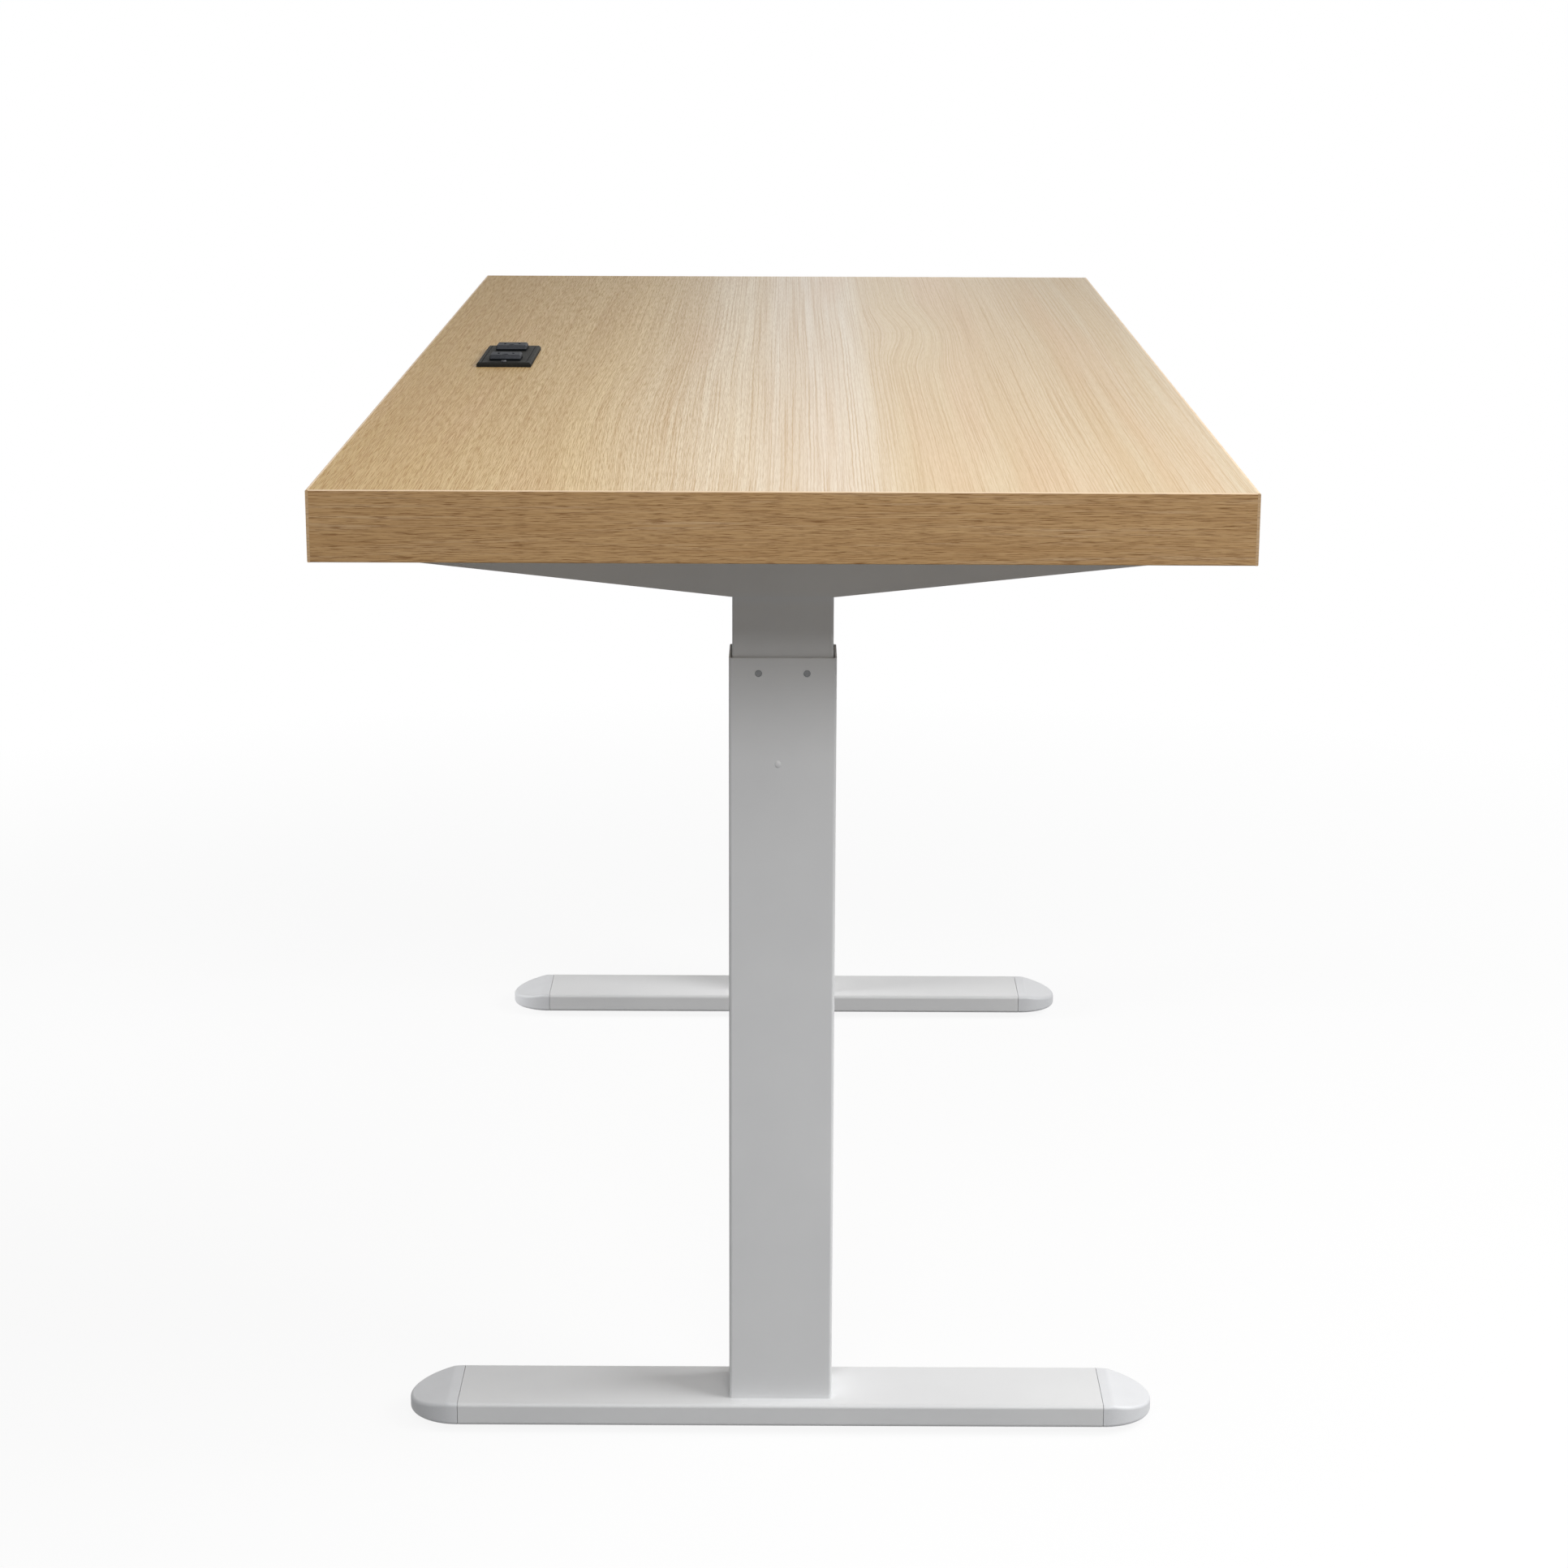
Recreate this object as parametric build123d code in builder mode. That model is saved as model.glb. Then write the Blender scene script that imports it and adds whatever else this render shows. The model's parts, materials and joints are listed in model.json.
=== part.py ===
from build123d import *
import os

# Height adjustable standing desk with two telescopic columns.
# X runs along the desktop, Y from the user's side (-Y) to the rear (+Y), Z up from the floor.
# The left leg stands at -X. Every size is in millimetres and is set once, here.

# Desktop
top_length = 1400
top_depth = 650
top_thick = 50
band_thick = 2
band_arris = 0.8
rest_height = 771

# Legs and lift
leg_inset = 190
travel_down = 30
travel_up = 420
shown_inner = 46

# Foot bar and its levelling feet
bar_length = 504
bar_width = 74
bar_height = 18.5
bar_wall = 2
bar_corner = 3
pad_diameter = 30
pad_height = 7
pad_edge = 1.5
stud_diameter = 8
stud_reach = 14
boss_diameter = 16
boss_height = 8
boss_gap = 7

# Foot end caps
cap_length = 40
cap_flat = 8
cap_tip_height = 11.5
cap_crease = 14
cap_seam = 0.4
cap_plug = 25
plug_clear = 0.3

# Columns
outer_width = 80
outer_depth = 50
outer_wall = 1.3
outer_corner = 2.5
tube_gap = 1.2
inner_wall = 1.5
inner_corner = 2
base_plate = 5
base_clear = 9.5
head_plate = 6
head_hole = 20

# Glide bushes between the two tubes
glide_height = 40
glide_recess = 1
glide_fit = 0.05
slide_gap = 0.3
peg_diameter = 4.6
peg_hole_gap = 0.3
peg_recess = 0.2
peg_spacing = 36
peg_drop = 11.7
glide_corner = 1.2

# Spindle, nut and push tube
spindle_diameter = 14
run_clear = 0.05
press_gap = 0.02
push_diameter = 26
push_wall = 3
nut_height = 30
nut_spigot = 15
nut_drop = 19
spindle_spare = 10

# Gear housing, worm wheel, worm and motor
motor_diameter = 44
motor_length = 110
motor_gap = 2
motor_bell = 14
motor_bell_step = 4
nose_diameter = 18
nose_clear = 0.5
grommet_diameter = 9
grommet_length = 6
cover_thick = 3
cover_gap = 1
housing_floor = 12
housing_wall = 4
housing_fit = 0.1
housing_land = 8.5
wheel_width = 14
wheel_clear = 1
worm_diameter = 12
worm_length = 26
worm_clear = 0.5
mesh_gap = 0.3
shaft_diameter = 6
shaft_grip = 20

# Side brackets
bracket_length = 550
bracket_mid_height = 56
bracket_end_height = 30.5
bracket_sheet = 2
bracket_clear = 0.5
bracket_tip = 7
flange_width = 15
flange_end = 12
flange_screw_outer = 250
flange_screw_inner = 150

# Cross rails
rail_height = 40
rail_width = 25
rail_wall = 1.5
rail_gap = 4.8
rail_drop = 3
rail_foot = 3
rail_foot_wing = 18

# Screws: shank, head and how far the shank goes in
wood_screw = 5
machine_screw = 6
small_screw = 3.5
head_ratio = 1.9
head_flat = 0.55
hole_clear = 0.3
wood_bite = 28
metal_bite = 9
foot_bolt_span_x = 26
foot_bolt_span_y = 52

# Control box
control_inset = 260
control_length = 240
control_depth = 110
control_height = 38
control_wall = 2.5
control_gap = 8
control_corner = 3
lid_thick = 2
lid_ear = 14
socket_bar_depth = 22
socket_bar_length = 170
inlet_width = 25
inlet_height = 17
inlet_deep = 16
lead_socket_width = 12
lead_socket_height = 9
lead_socket_deep = 12
lead_socket_pitch = 26

# Handset and its keys
handset_gap = 14
handset_length = 112
handset_depth = 58
handset_height = 22
handset_wall = 2
handset_inset = 2
handset_corner = 3
handset_screw_span = 76
handset_boss = 9
window_width = 25
window_height = 11
window_fit = 0.1
key_height = 9
key_wide = 14
key_narrow = 9
key_step = 4
key_proud = 1.4
key_clear = 0.2
key_lip = 1
key_edge = 0.6

# Power module
module_inset = 81.5
plate_length = 120
plate_width = 47
plate_thick = 4
plate_bevel = 1.5
plate_groove_inset = 2.25
plate_groove = 0.6
box_length = 104
box_width = 40
box_depth = 52
box_wall = 2
box_fit = 0.5
socket_size = 27
socket_pitch = 67
socket_proud = 4.8
socket_skirt = 1.6
socket_end_slope = 1.2
socket_body = 24
socket_lip = 2
socket_lip_thick = 2
socket_fit = 0.2
blade_width = 2
blade_length = 7
blade_spread = 12.7
blade_deep = 15
earth_diameter = 5
plate_screw = 2.6
plate_screw_bite = 16
plate_screw_inset = 4.5

# Heights and places that follow from the sizes above
under_z = rest_height - top_thick
leg_spacing = top_length - 2 * leg_inset
bar_low = pad_height
bar_mid = bar_low + bar_height / 2
bar_top = bar_low + bar_height
plate_top = bar_top + base_plate
bracket_low = under_z - bracket_mid_height
rim_z = bracket_low - shown_inner
inner_width = outer_width - 2 * (outer_wall + tube_gap)
inner_depth = outer_depth - 2 * (outer_wall + tube_gap)
drive_z = under_z - motor_gap - motor_diameter / 2
housing_top = under_z - cover_gap - cover_thick
housing_low = drive_z - wheel_width / 2 - wheel_clear - housing_floor
inner_low = plate_top + travel_down + base_clear
bracket_width = inner_depth + 2 * (bracket_clear + bracket_sheet)
channel_width = bracket_width - 2 * bracket_sheet
housing_width = channel_width - 2 * housing_fit
wheel_diameter = housing_width - 2 * (housing_wall + wheel_clear)
worm_y = wheel_diameter / 2 + mesh_gap + worm_diameter / 2
worm_bore = worm_diameter + 2 * worm_clear
housing_length = 2 * (worm_y + motor_diameter / 2 + housing_land)
nut_top = rim_z - nut_drop
nut_low = nut_top - nut_height
spindle_low = nut_low - nut_spigot - spindle_spare - travel_up
spindle_top = drive_z + wheel_width / 2
leveller_y = bar_length / 2 - cap_plug - boss_diameter / 2 - boss_gap
rail_spread = housing_length + 2 * (rail_gap + rail_foot_wing) + rail_width
rail_mid = under_z - rail_drop - rail_height / 2
rail_length = leg_spacing - bracket_width
head_screw_edge = inner_wall + machine_screw * head_ratio / 2 + hole_clear
head_screw_span_x = inner_depth - 2 * head_screw_edge
head_screw_span_y = inner_width - 2 * head_screw_edge
housing_screw_y = (housing_length - housing_land) / 2
housing_screw_z = (housing_top - housing_low) / 2 - machine_screw
control_x = leg_spacing / 2 - control_inset
control_y = rail_spread / 2 + rail_width / 2 + control_gap + control_depth / 2
control_top = under_z - lid_thick
handset_x = rail_length / 2 - flange_width - handset_gap - handset_length / 2
handset_front = -top_depth / 2 + handset_inset
handset_mid_y = handset_front + handset_depth / 2
handset_mid_z = under_z - handset_height / 2
key_row = (("up_button", key_wide), ("down_button", key_wide), ("memory_button_1", key_narrow),
           ("memory_button_2", key_narrow), ("memory_button_3", key_narrow))
module_y = top_depth / 2 - module_inset
core_length = top_length - 2 * band_thick
core_depth = top_depth - 2 * band_thick
plate_screw_x = plate_length / 2 - plate_screw_inset
legs = (("left", -leg_spacing / 2, 1), ("right", leg_spacing / 2, -1))
foot_ends = (("front", -1), ("rear", 1))


# Planes: level lies flat, side faces +X with Y across, front faces the user with X across
def level(x, y, z):
    return Plane((x, y, z))


def side(x):
    return Plane(origin=(x, 0, 0), x_dir=(0, 1, 0), z_dir=(1, 0, 0))


def front(x, y, z):
    return Plane(origin=(x, y, z), x_dir=(1, 0, 0), z_dir=(0, -1, 0))


def inside_corner(corner, wall):
    return max(corner - wall, wall / 5)


def save(part, name):
    part.label = name
    export_step(part, f"parts/{name}.step")


# A screw in the open part: its head seats at the point and its shank runs along the direction
def add_screw(seat, direction, shank, length):
    head = shank * head_ratio
    with Locations(Plane(origin=seat, z_dir=direction)):
        Cylinder(shank / 2, length, align=(Align.CENTER, Align.CENTER, Align.MIN))
        Cylinder(head / 2, shank * head_flat, align=(Align.CENTER, Align.CENTER, Align.MAX))


# The clearance hole for such a screw, open at both ends
def cut_hole(seat, direction, shank, length):
    with Locations(Plane(origin=seat, z_dir=direction)):
        Cylinder(shank / 2 + hole_clear, 2 * length, mode=Mode.SUBTRACT)


# Screw places, shared by the holes and the screws
def flange_spots(leg_x):
    reach = (bracket_width + flange_width) / 2
    rows = (-flange_screw_outer, -flange_screw_inner, flange_screw_inner, flange_screw_outer)
    return [(leg_x + edge * reach, y) for edge in (-1, 1) for y in rows]


def head_spots(leg_x):
    return [(leg_x + i * head_screw_span_x / 2, j * head_screw_span_y / 2) for i in (-1, 1) for j in (-1, 1)]


def housing_spots():
    mid = (housing_low + housing_top) / 2
    return [(i * housing_screw_y, mid + j * housing_screw_z) for i in (-1, 1) for j in (-1, 1)]


def rail_spots():
    wing = (rail_width + rail_foot_wing) / 2
    return [(i * rail_spread / 2 + j * wing, rail_mid) for i in (-1, 1) for j in (-1, 1)]


def control_spots():
    reach = (control_length + lid_ear) / 2
    row = control_depth / 3
    return [(control_x + i * reach, control_y + j * row) for i in (-1, 1) for j in (-1, 1)]


def handset_spots():
    return [(handset_x + i * handset_screw_span / 2, handset_mid_y) for i in (-1, 1)]


# Foot: a steel tube along Y with a threaded boss for each levelling foot
def foot_bar(leg_x):
    with BuildPart() as bar:
        with BuildSketch(front(leg_x, 0, bar_mid)):
            RectangleRounded(bar_width, bar_height, bar_corner)
            RectangleRounded(bar_width - 2 * bar_wall, bar_height - 2 * bar_wall,
                             inside_corner(bar_corner, bar_wall), mode=Mode.SUBTRACT)
        extrude(amount=bar_length / 2, both=True)
        with BuildSketch(level(leg_x, 0, bar_low + bar_wall)):
            with GridLocations(0, 2 * leveller_y, 1, 2):
                Circle(boss_diameter / 2)
        extrude(amount=boss_height)
        with BuildSketch(level(leg_x, 0, bar_low)):
            with GridLocations(0, 2 * leveller_y, 1, 2):
                Circle(stud_diameter / 2 + run_clear)
        extrude(amount=bar_wall + boss_height, mode=Mode.SUBTRACT)
        with BuildSketch(level(leg_x, 0, bar_low)):
            with GridLocations(foot_bolt_span_x, foot_bolt_span_y, 2, 2):
                Circle(machine_screw / 2 + hole_clear)
        extrude(amount=bar_height, mode=Mode.SUBTRACT)
    return bar.part


# Moulded end cap: half an ellipse in plan, a level strip by the seam, then a slope down to the tip
def foot_cap(leg_x, end):
    seam_y = end * (bar_length / 2 + cap_seam)
    outward = Align.MIN if end > 0 else Align.MAX
    inward = Align.MAX if end > 0 else Align.MIN
    crease_y = seam_y + end * cap_flat
    tip_y = seam_y + end * cap_length
    plug_edge = 2 * (bar_wall + plug_clear)
    with BuildPart() as cap:
        with BuildSketch(level(leg_x, seam_y, bar_low)):
            Ellipse(bar_width / 2, cap_length)
            Rectangle(bar_width, cap_length, align=(Align.CENTER, outward), mode=Mode.INTERSECT)
        extrude(amount=bar_height)
        with BuildSketch(side(leg_x)):
            with BuildLine():
                Polyline((crease_y, bar_top), (tip_y, bar_low + cap_tip_height), (tip_y, bar_top), close=True)
            make_face()
        extrude(amount=bar_width, both=True, mode=Mode.SUBTRACT)
        crease = cap.edges().filter_by(Axis.X).filter_by_position(
            Axis.Y, min(crease_y, tip_y) - cap_seam, max(crease_y, tip_y) + cap_seam)
        fillet(crease, cap_crease)
        seam_side = cap.faces().sort_by(Axis.Y)[0 if end > 0 else -1]
        rounded = cap.edges().filter_by(GeomType.LINE, reverse=True) - seam_side.edges()
        fillet(rounded.filter_by(lambda edge: edge.bounding_box().size.Y > cap_flat / 4), bar_corner)
        with BuildSketch(front(leg_x, seam_y, bar_mid)):
            RectangleRounded(bar_width - plug_edge, bar_height - plug_edge,
                             inside_corner(bar_corner, bar_wall))
        extrude(amount=end * cap_plug)
    return cap.part


# Levelling foot: a round pad on a threaded stud, screwed right in
def leveller(leg_x, end):
    y = end * leveller_y
    with BuildPart() as foot:
        with BuildSketch(level(leg_x, y, 0)):
            Circle(pad_diameter / 2)
        extrude(amount=pad_height)
        chamfer(foot.edges().group_by(Axis.Z)[0], pad_edge)
        with BuildSketch(level(leg_x, y, pad_height)):
            Circle(stud_diameter / 2)
        extrude(amount=stud_reach)
    return foot.part


# Bolts up through the foot bar into the base plate of the column
def foot_bolts(leg_x):
    with BuildPart() as bolts:
        for i in (-1, 1):
            for j in (-1, 1):
                seat = (leg_x + i * foot_bolt_span_x / 2, j * foot_bolt_span_y / 2, bar_low)
                add_screw(seat, (0, 0, 1), machine_screw, bar_height + base_plate)
    return bolts.part


# Outer tube with its welded base plate and the holes for the glide pegs
def outer_tube(leg_x):
    bore_depth = outer_depth - 2 * outer_wall
    bore_width = outer_width - 2 * outer_wall
    with BuildPart() as tube:
        with BuildSketch(level(leg_x, 0, bar_top)):
            RectangleRounded(outer_depth, outer_width, outer_corner)
        extrude(amount=rim_z - bar_top)
        with BuildSketch(level(leg_x, 0, plate_top)):
            RectangleRounded(bore_depth, bore_width, inside_corner(outer_corner, outer_wall))
        extrude(amount=rim_z - plate_top, mode=Mode.SUBTRACT)
        with BuildSketch(side(leg_x)):
            with Locations((0, rim_z - peg_drop)):
                with GridLocations(peg_spacing, 0, 2, 1):
                    Circle(peg_diameter / 2 + peg_hole_gap)
        extrude(amount=outer_depth, both=True, mode=Mode.SUBTRACT)
        with BuildSketch(level(leg_x, 0, bar_top)):
            with GridLocations(foot_bolt_span_x, foot_bolt_span_y, 2, 2):
                Circle(machine_screw / 2 + hole_clear)
        extrude(amount=base_plate, mode=Mode.SUBTRACT)
    return tube.part


# Upper glide: a sleeve in the mouth of the outer tube, held by pegs in the tube's holes
def upper_glide(leg_x):
    low_z = rim_z - glide_recess - glide_height
    sleeve_edge = 2 * (outer_wall + glide_fit)
    with BuildPart() as glide:
        with BuildSketch(level(leg_x, 0, low_z)):
            RectangleRounded(outer_depth - sleeve_edge, outer_width - sleeve_edge, glide_corner)
        extrude(amount=glide_height)
        with BuildSketch(side(leg_x)):
            with Locations((0, rim_z - peg_drop)):
                with GridLocations(peg_spacing, 0, 2, 1):
                    Circle(peg_diameter / 2)
        extrude(amount=outer_depth / 2 - peg_recess, both=True)
        with BuildSketch(level(leg_x, 0, low_z)):
            RectangleRounded(inner_depth + 2 * slide_gap, inner_width + 2 * slide_gap, inner_corner)
        extrude(amount=glide_height, mode=Mode.SUBTRACT)
    return glide.part


# Lower glide: a sleeve round the foot of the inner tube, with pegs into that tube
def lower_glide(leg_x):
    sleeve_edge = 2 * (outer_wall + slide_gap)
    with BuildPart() as glide:
        with BuildSketch(level(leg_x, 0, inner_low)):
            RectangleRounded(outer_depth - sleeve_edge, outer_width - sleeve_edge, glide_corner)
            RectangleRounded(inner_depth + 2 * glide_fit, inner_width + 2 * glide_fit, inner_corner,
                             mode=Mode.SUBTRACT)
        extrude(amount=glide_height)
        for face in (-1, 1):
            outer_x = leg_x + face * (inner_depth / 2 + glide_fit)
            with BuildSketch(side(outer_x)):
                with Locations((0, inner_low + peg_drop)):
                    with GridLocations(peg_spacing, 0, 2, 1):
                        Circle(peg_diameter / 2)
            extrude(amount=-face * inner_wall)
    return glide.part


# Inner tube with its welded head plate, and holes for the glide pegs near its foot
def inner_tube(leg_x):
    with BuildPart() as tube:
        with BuildSketch(level(leg_x, 0, inner_low)):
            RectangleRounded(inner_depth, inner_width, inner_corner)
        extrude(amount=housing_low - inner_low)
        with BuildSketch(level(leg_x, 0, inner_low)):
            RectangleRounded(inner_depth - 2 * inner_wall, inner_width - 2 * inner_wall,
                             inside_corner(inner_corner, inner_wall))
        extrude(amount=housing_low - head_plate - inner_low, mode=Mode.SUBTRACT)
        with BuildSketch(side(leg_x)):
            with Locations((0, inner_low + peg_drop)):
                with GridLocations(peg_spacing, 0, 2, 1):
                    Circle(peg_diameter / 2 + peg_hole_gap)
        extrude(amount=inner_depth, both=True, mode=Mode.SUBTRACT)
        with BuildSketch(level(leg_x, 0, housing_low - head_plate)):
            Circle(head_hole / 2)
        extrude(amount=head_plate, mode=Mode.SUBTRACT)
        for x, y in head_spots(leg_x):
            cut_hole((x, y, housing_low), (0, 0, 1), machine_screw, head_plate)
    return tube.part


# Push tube: stands on the base plate and carries the drive nut
def push_tube(leg_x):
    with BuildPart() as tube:
        with BuildSketch(level(leg_x, 0, plate_top)):
            Circle(push_diameter / 2)
            Circle(push_diameter / 2 - push_wall, mode=Mode.SUBTRACT)
        extrude(amount=nut_low - plate_top)
    return tube.part


# Drive nut: sits on the push tube with a spigot in its bore
def drive_nut(leg_x):
    with BuildPart() as nut:
        with BuildSketch(level(leg_x, 0, nut_low)):
            Circle(push_diameter / 2)
        extrude(amount=nut_height)
        with BuildSketch(level(leg_x, 0, nut_low)):
            Circle(push_diameter / 2 - push_wall - run_clear)
        extrude(amount=-nut_spigot)
        with BuildSketch(level(leg_x, 0, nut_top)):
            Circle(spindle_diameter / 2 + run_clear)
        extrude(amount=-nut_height - nut_spigot, mode=Mode.SUBTRACT)
    return nut.part


# Lifting spindle: hangs from the worm wheel and runs down through the nut
def spindle(leg_x):
    with BuildPart() as screw:
        with BuildSketch(level(leg_x, 0, spindle_low)):
            Circle(spindle_diameter / 2)
        extrude(amount=spindle_top - spindle_low)
        chamfer(screw.edges().group_by(Axis.Z)[0], spindle_diameter / 10)
    return screw.part


def worm_wheel(leg_x):
    with BuildPart() as wheel:
        with BuildSketch(level(leg_x, 0, drive_z - wheel_width / 2)):
            Circle(wheel_diameter / 2)
            Circle(spindle_diameter / 2 + press_gap, mode=Mode.SUBTRACT)
        extrude(amount=wheel_width)
    return wheel.part


# Worm on its shaft: lies along X beside the wheel, and the shaft ends in the motor's nose
def worm_shaft(leg_x, inward):
    nose_start = housing_width / 2
    shaft_end = bracket_width / 2 + shaft_grip
    with BuildPart() as worm:
        with BuildSketch(side(leg_x - inward * worm_length / 2)):
            with Locations((worm_y, drive_z)):
                Circle(worm_diameter / 2)
        extrude(amount=inward * (worm_length / 2 + nose_start - worm_clear))
        with BuildSketch(side(leg_x + inward * (nose_start - worm_clear))):
            with Locations((worm_y, drive_z)):
                Circle(shaft_diameter / 2)
        extrude(amount=inward * (shaft_end - nose_start + worm_clear))
    return worm.part


# Gear housing: a die-cast block on the head of the inner tube, inside the side bracket
def gear_housing(leg_x, inward):
    outboard = leg_x - inward * (housing_width / 2 - housing_wall)
    with BuildPart() as housing:
        with BuildSketch(level(leg_x, 0, housing_low)):
            Rectangle(housing_width, housing_length)
        extrude(amount=housing_top - housing_low)
        with BuildSketch(level(leg_x, 0, housing_low + housing_floor)):
            Circle(wheel_diameter / 2 + wheel_clear)
        extrude(amount=housing_top - housing_low - housing_floor, mode=Mode.SUBTRACT)
        with BuildSketch(level(leg_x, 0, housing_low)):
            Circle(spindle_diameter / 2 + run_clear)
        extrude(amount=housing_floor, mode=Mode.SUBTRACT)
        with BuildSketch(side(outboard)):
            with Locations((worm_y, drive_z)):
                Circle(worm_bore / 2)
        extrude(amount=inward * (housing_width - housing_wall), mode=Mode.SUBTRACT)
        for x, y in head_spots(leg_x):
            cut_hole((x, y, housing_low), (0, 0, 1), machine_screw, metal_bite)
        for y, z in housing_spots():
            face = (leg_x + inward * housing_width / 2, y, z)
            cut_hole(face, (-inward, 0, 0), machine_screw, metal_bite)
    return housing.part


def gear_cover(leg_x):
    with BuildPart() as cover:
        with BuildSketch(level(leg_x, 0, housing_top)):
            Rectangle(housing_width, housing_length)
        extrude(amount=cover_thick)
    return cover.part


# Motor: its nose goes through the bracket to the gear housing, its can lies along X inboard
def motor(leg_x, inward):
    nose_x = leg_x + inward * housing_width / 2
    can_x = leg_x + inward * bracket_width / 2
    bell_x = can_x + inward * motor_length
    back_x = bell_x + inward * motor_bell
    steps = ((nose_x, can_x, nose_diameter), (can_x, bell_x, motor_diameter),
             (bell_x, back_x, motor_diameter - 2 * motor_bell_step),
             (back_x, back_x + inward * grommet_length, grommet_diameter))
    with BuildPart() as can:
        for start, stop, diameter in steps:
            with BuildSketch(side(start)):
                with Locations((worm_y, drive_z)):
                    Circle(diameter / 2)
            extrude(amount=stop - start)
        with BuildSketch(side(nose_x)):
            with Locations((worm_y, drive_z)):
                Circle(shaft_diameter / 2 + run_clear)
        extrude(amount=can_x - nose_x + inward * (shaft_grip + worm_clear), mode=Mode.SUBTRACT)
    return can.part


# Outline of a side bracket in Y and Z: level at the column, tapering to rounded tips
def bracket_outline(leg_x, inset):
    half = bracket_length / 2
    slot = inner_width / 2 + bracket_clear
    end_z = under_z - bracket_end_height
    with BuildSketch(side(leg_x)) as outline:
        with BuildLine():
            Polyline((-half, under_z), (-half, end_z), (-slot, bracket_low), (slot, bracket_low),
                     (half, end_z), (half, under_z), close=True)
        make_face()
        tips = outline.vertices().filter_by_position(
            Axis.Y, end_z - bracket_sheet / 2, end_z + bracket_sheet / 2)
        fillet(tips, bracket_tip)
        offset(amount=-inset)
    return outline.sketch


# Side bracket: a folded steel channel, open upwards, with flanges screwed to the desktop
def side_bracket(leg_x, inward):
    wall_x = leg_x + inward * bracket_width / 2
    with BuildPart() as bracket:
        extrude(bracket_outline(leg_x, 0), amount=bracket_width / 2, both=True)
        extrude(bracket_outline(leg_x, bracket_sheet), amount=channel_width / 2, both=True,
                mode=Mode.SUBTRACT)
        with BuildSketch(level(leg_x, 0, under_z)):
            Rectangle(channel_width, bracket_length - 2 * bracket_sheet)
        extrude(amount=-2 * bracket_sheet, mode=Mode.SUBTRACT)
        with BuildSketch(level(leg_x, 0, bracket_low)):
            Rectangle(channel_width, inner_width + 2 * bracket_clear)
        extrude(amount=2 * bracket_sheet, mode=Mode.SUBTRACT)
        with BuildSketch(level(leg_x, 0, under_z - bracket_sheet)):
            with GridLocations(bracket_width + flange_width, 0, 2, 1):
                Rectangle(flange_width, bracket_length - 2 * flange_end)
        extrude(amount=bracket_sheet)
        for x, y in flange_spots(leg_x):
            cut_hole((x, y, under_z), (0, 0, 1), wood_screw, bracket_sheet)
        for y, z in housing_spots() + rail_spots():
            cut_hole((wall_x, y, z), (1, 0, 0), machine_screw, bracket_sheet)
        with BuildSketch(side(wall_x)):
            with Locations((worm_y, drive_z)):
                Circle(nose_diameter / 2 + nose_clear)
        extrude(amount=-inward * bracket_sheet, mode=Mode.SUBTRACT)
    return bracket.part


# Cross rail: a steel tube along X with a welded foot at each end, bolted to the brackets
def cross_rail(row):
    y = row * rail_spread / 2
    with BuildPart() as rail:
        with BuildSketch(side(0)):
            with Locations((y, rail_mid)):
                Rectangle(rail_width, rail_height)
                Rectangle(rail_width - 2 * rail_wall, rail_height - 2 * rail_wall, mode=Mode.SUBTRACT)
        extrude(amount=rail_length / 2, both=True)
        for end in (-1, 1):
            with BuildSketch(side(end * rail_length / 2)):
                with Locations((y, rail_mid)):
                    Rectangle(rail_width + 2 * rail_foot_wing, rail_height)
            extrude(amount=-end * rail_foot)
            for spot_y, z in rail_spots():
                cut_hole((end * rail_length / 2, spot_y, z), (1, 0, 0), machine_screw, rail_foot)
    return rail.part


# Desktop board: the laminated core with the module's cut-out and pilot holes from below
def desktop_board():
    with BuildPart() as board:
        with BuildSketch(level(0, 0, under_z)):
            Rectangle(core_length, core_depth)
            with Locations((0, module_y)):
                Rectangle(box_length + 2 * box_fit, box_width + 2 * box_fit, mode=Mode.SUBTRACT)
        extrude(amount=top_thick)
        pilots = [spot for name, leg_x, inward in legs for spot in flange_spots(leg_x)]
        for x, y in pilots:
            cut_hole((x, y, under_z), (0, 0, 1), wood_screw, wood_bite)
        for x, y in control_spots() + handset_spots():
            cut_hole((x, y, under_z), (0, 0, 1), small_screw, wood_bite)
        for end in (-1, 1):
            cut_hole((end * plate_screw_x, module_y, rest_height), (0, 0, 1), plate_screw, plate_screw_bite)
    return board.part


# Edge bands: front and rear run the full length, left and right lie between them
def edge_band(length, thick, x, y):
    with BuildPart() as band:
        with BuildSketch(level(x, y, under_z)):
            Rectangle(length, thick)
        extrude(amount=top_thick)
        along = Axis.X if length > thick else Axis.Y
        across = Axis.Y if length > thick else Axis.X
        outer = band.faces().sort_by(across)[-1 if x + y > 0 else 0]
        fillet(outer.edges().filter_by(along), band_arris)
    return band.part


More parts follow.
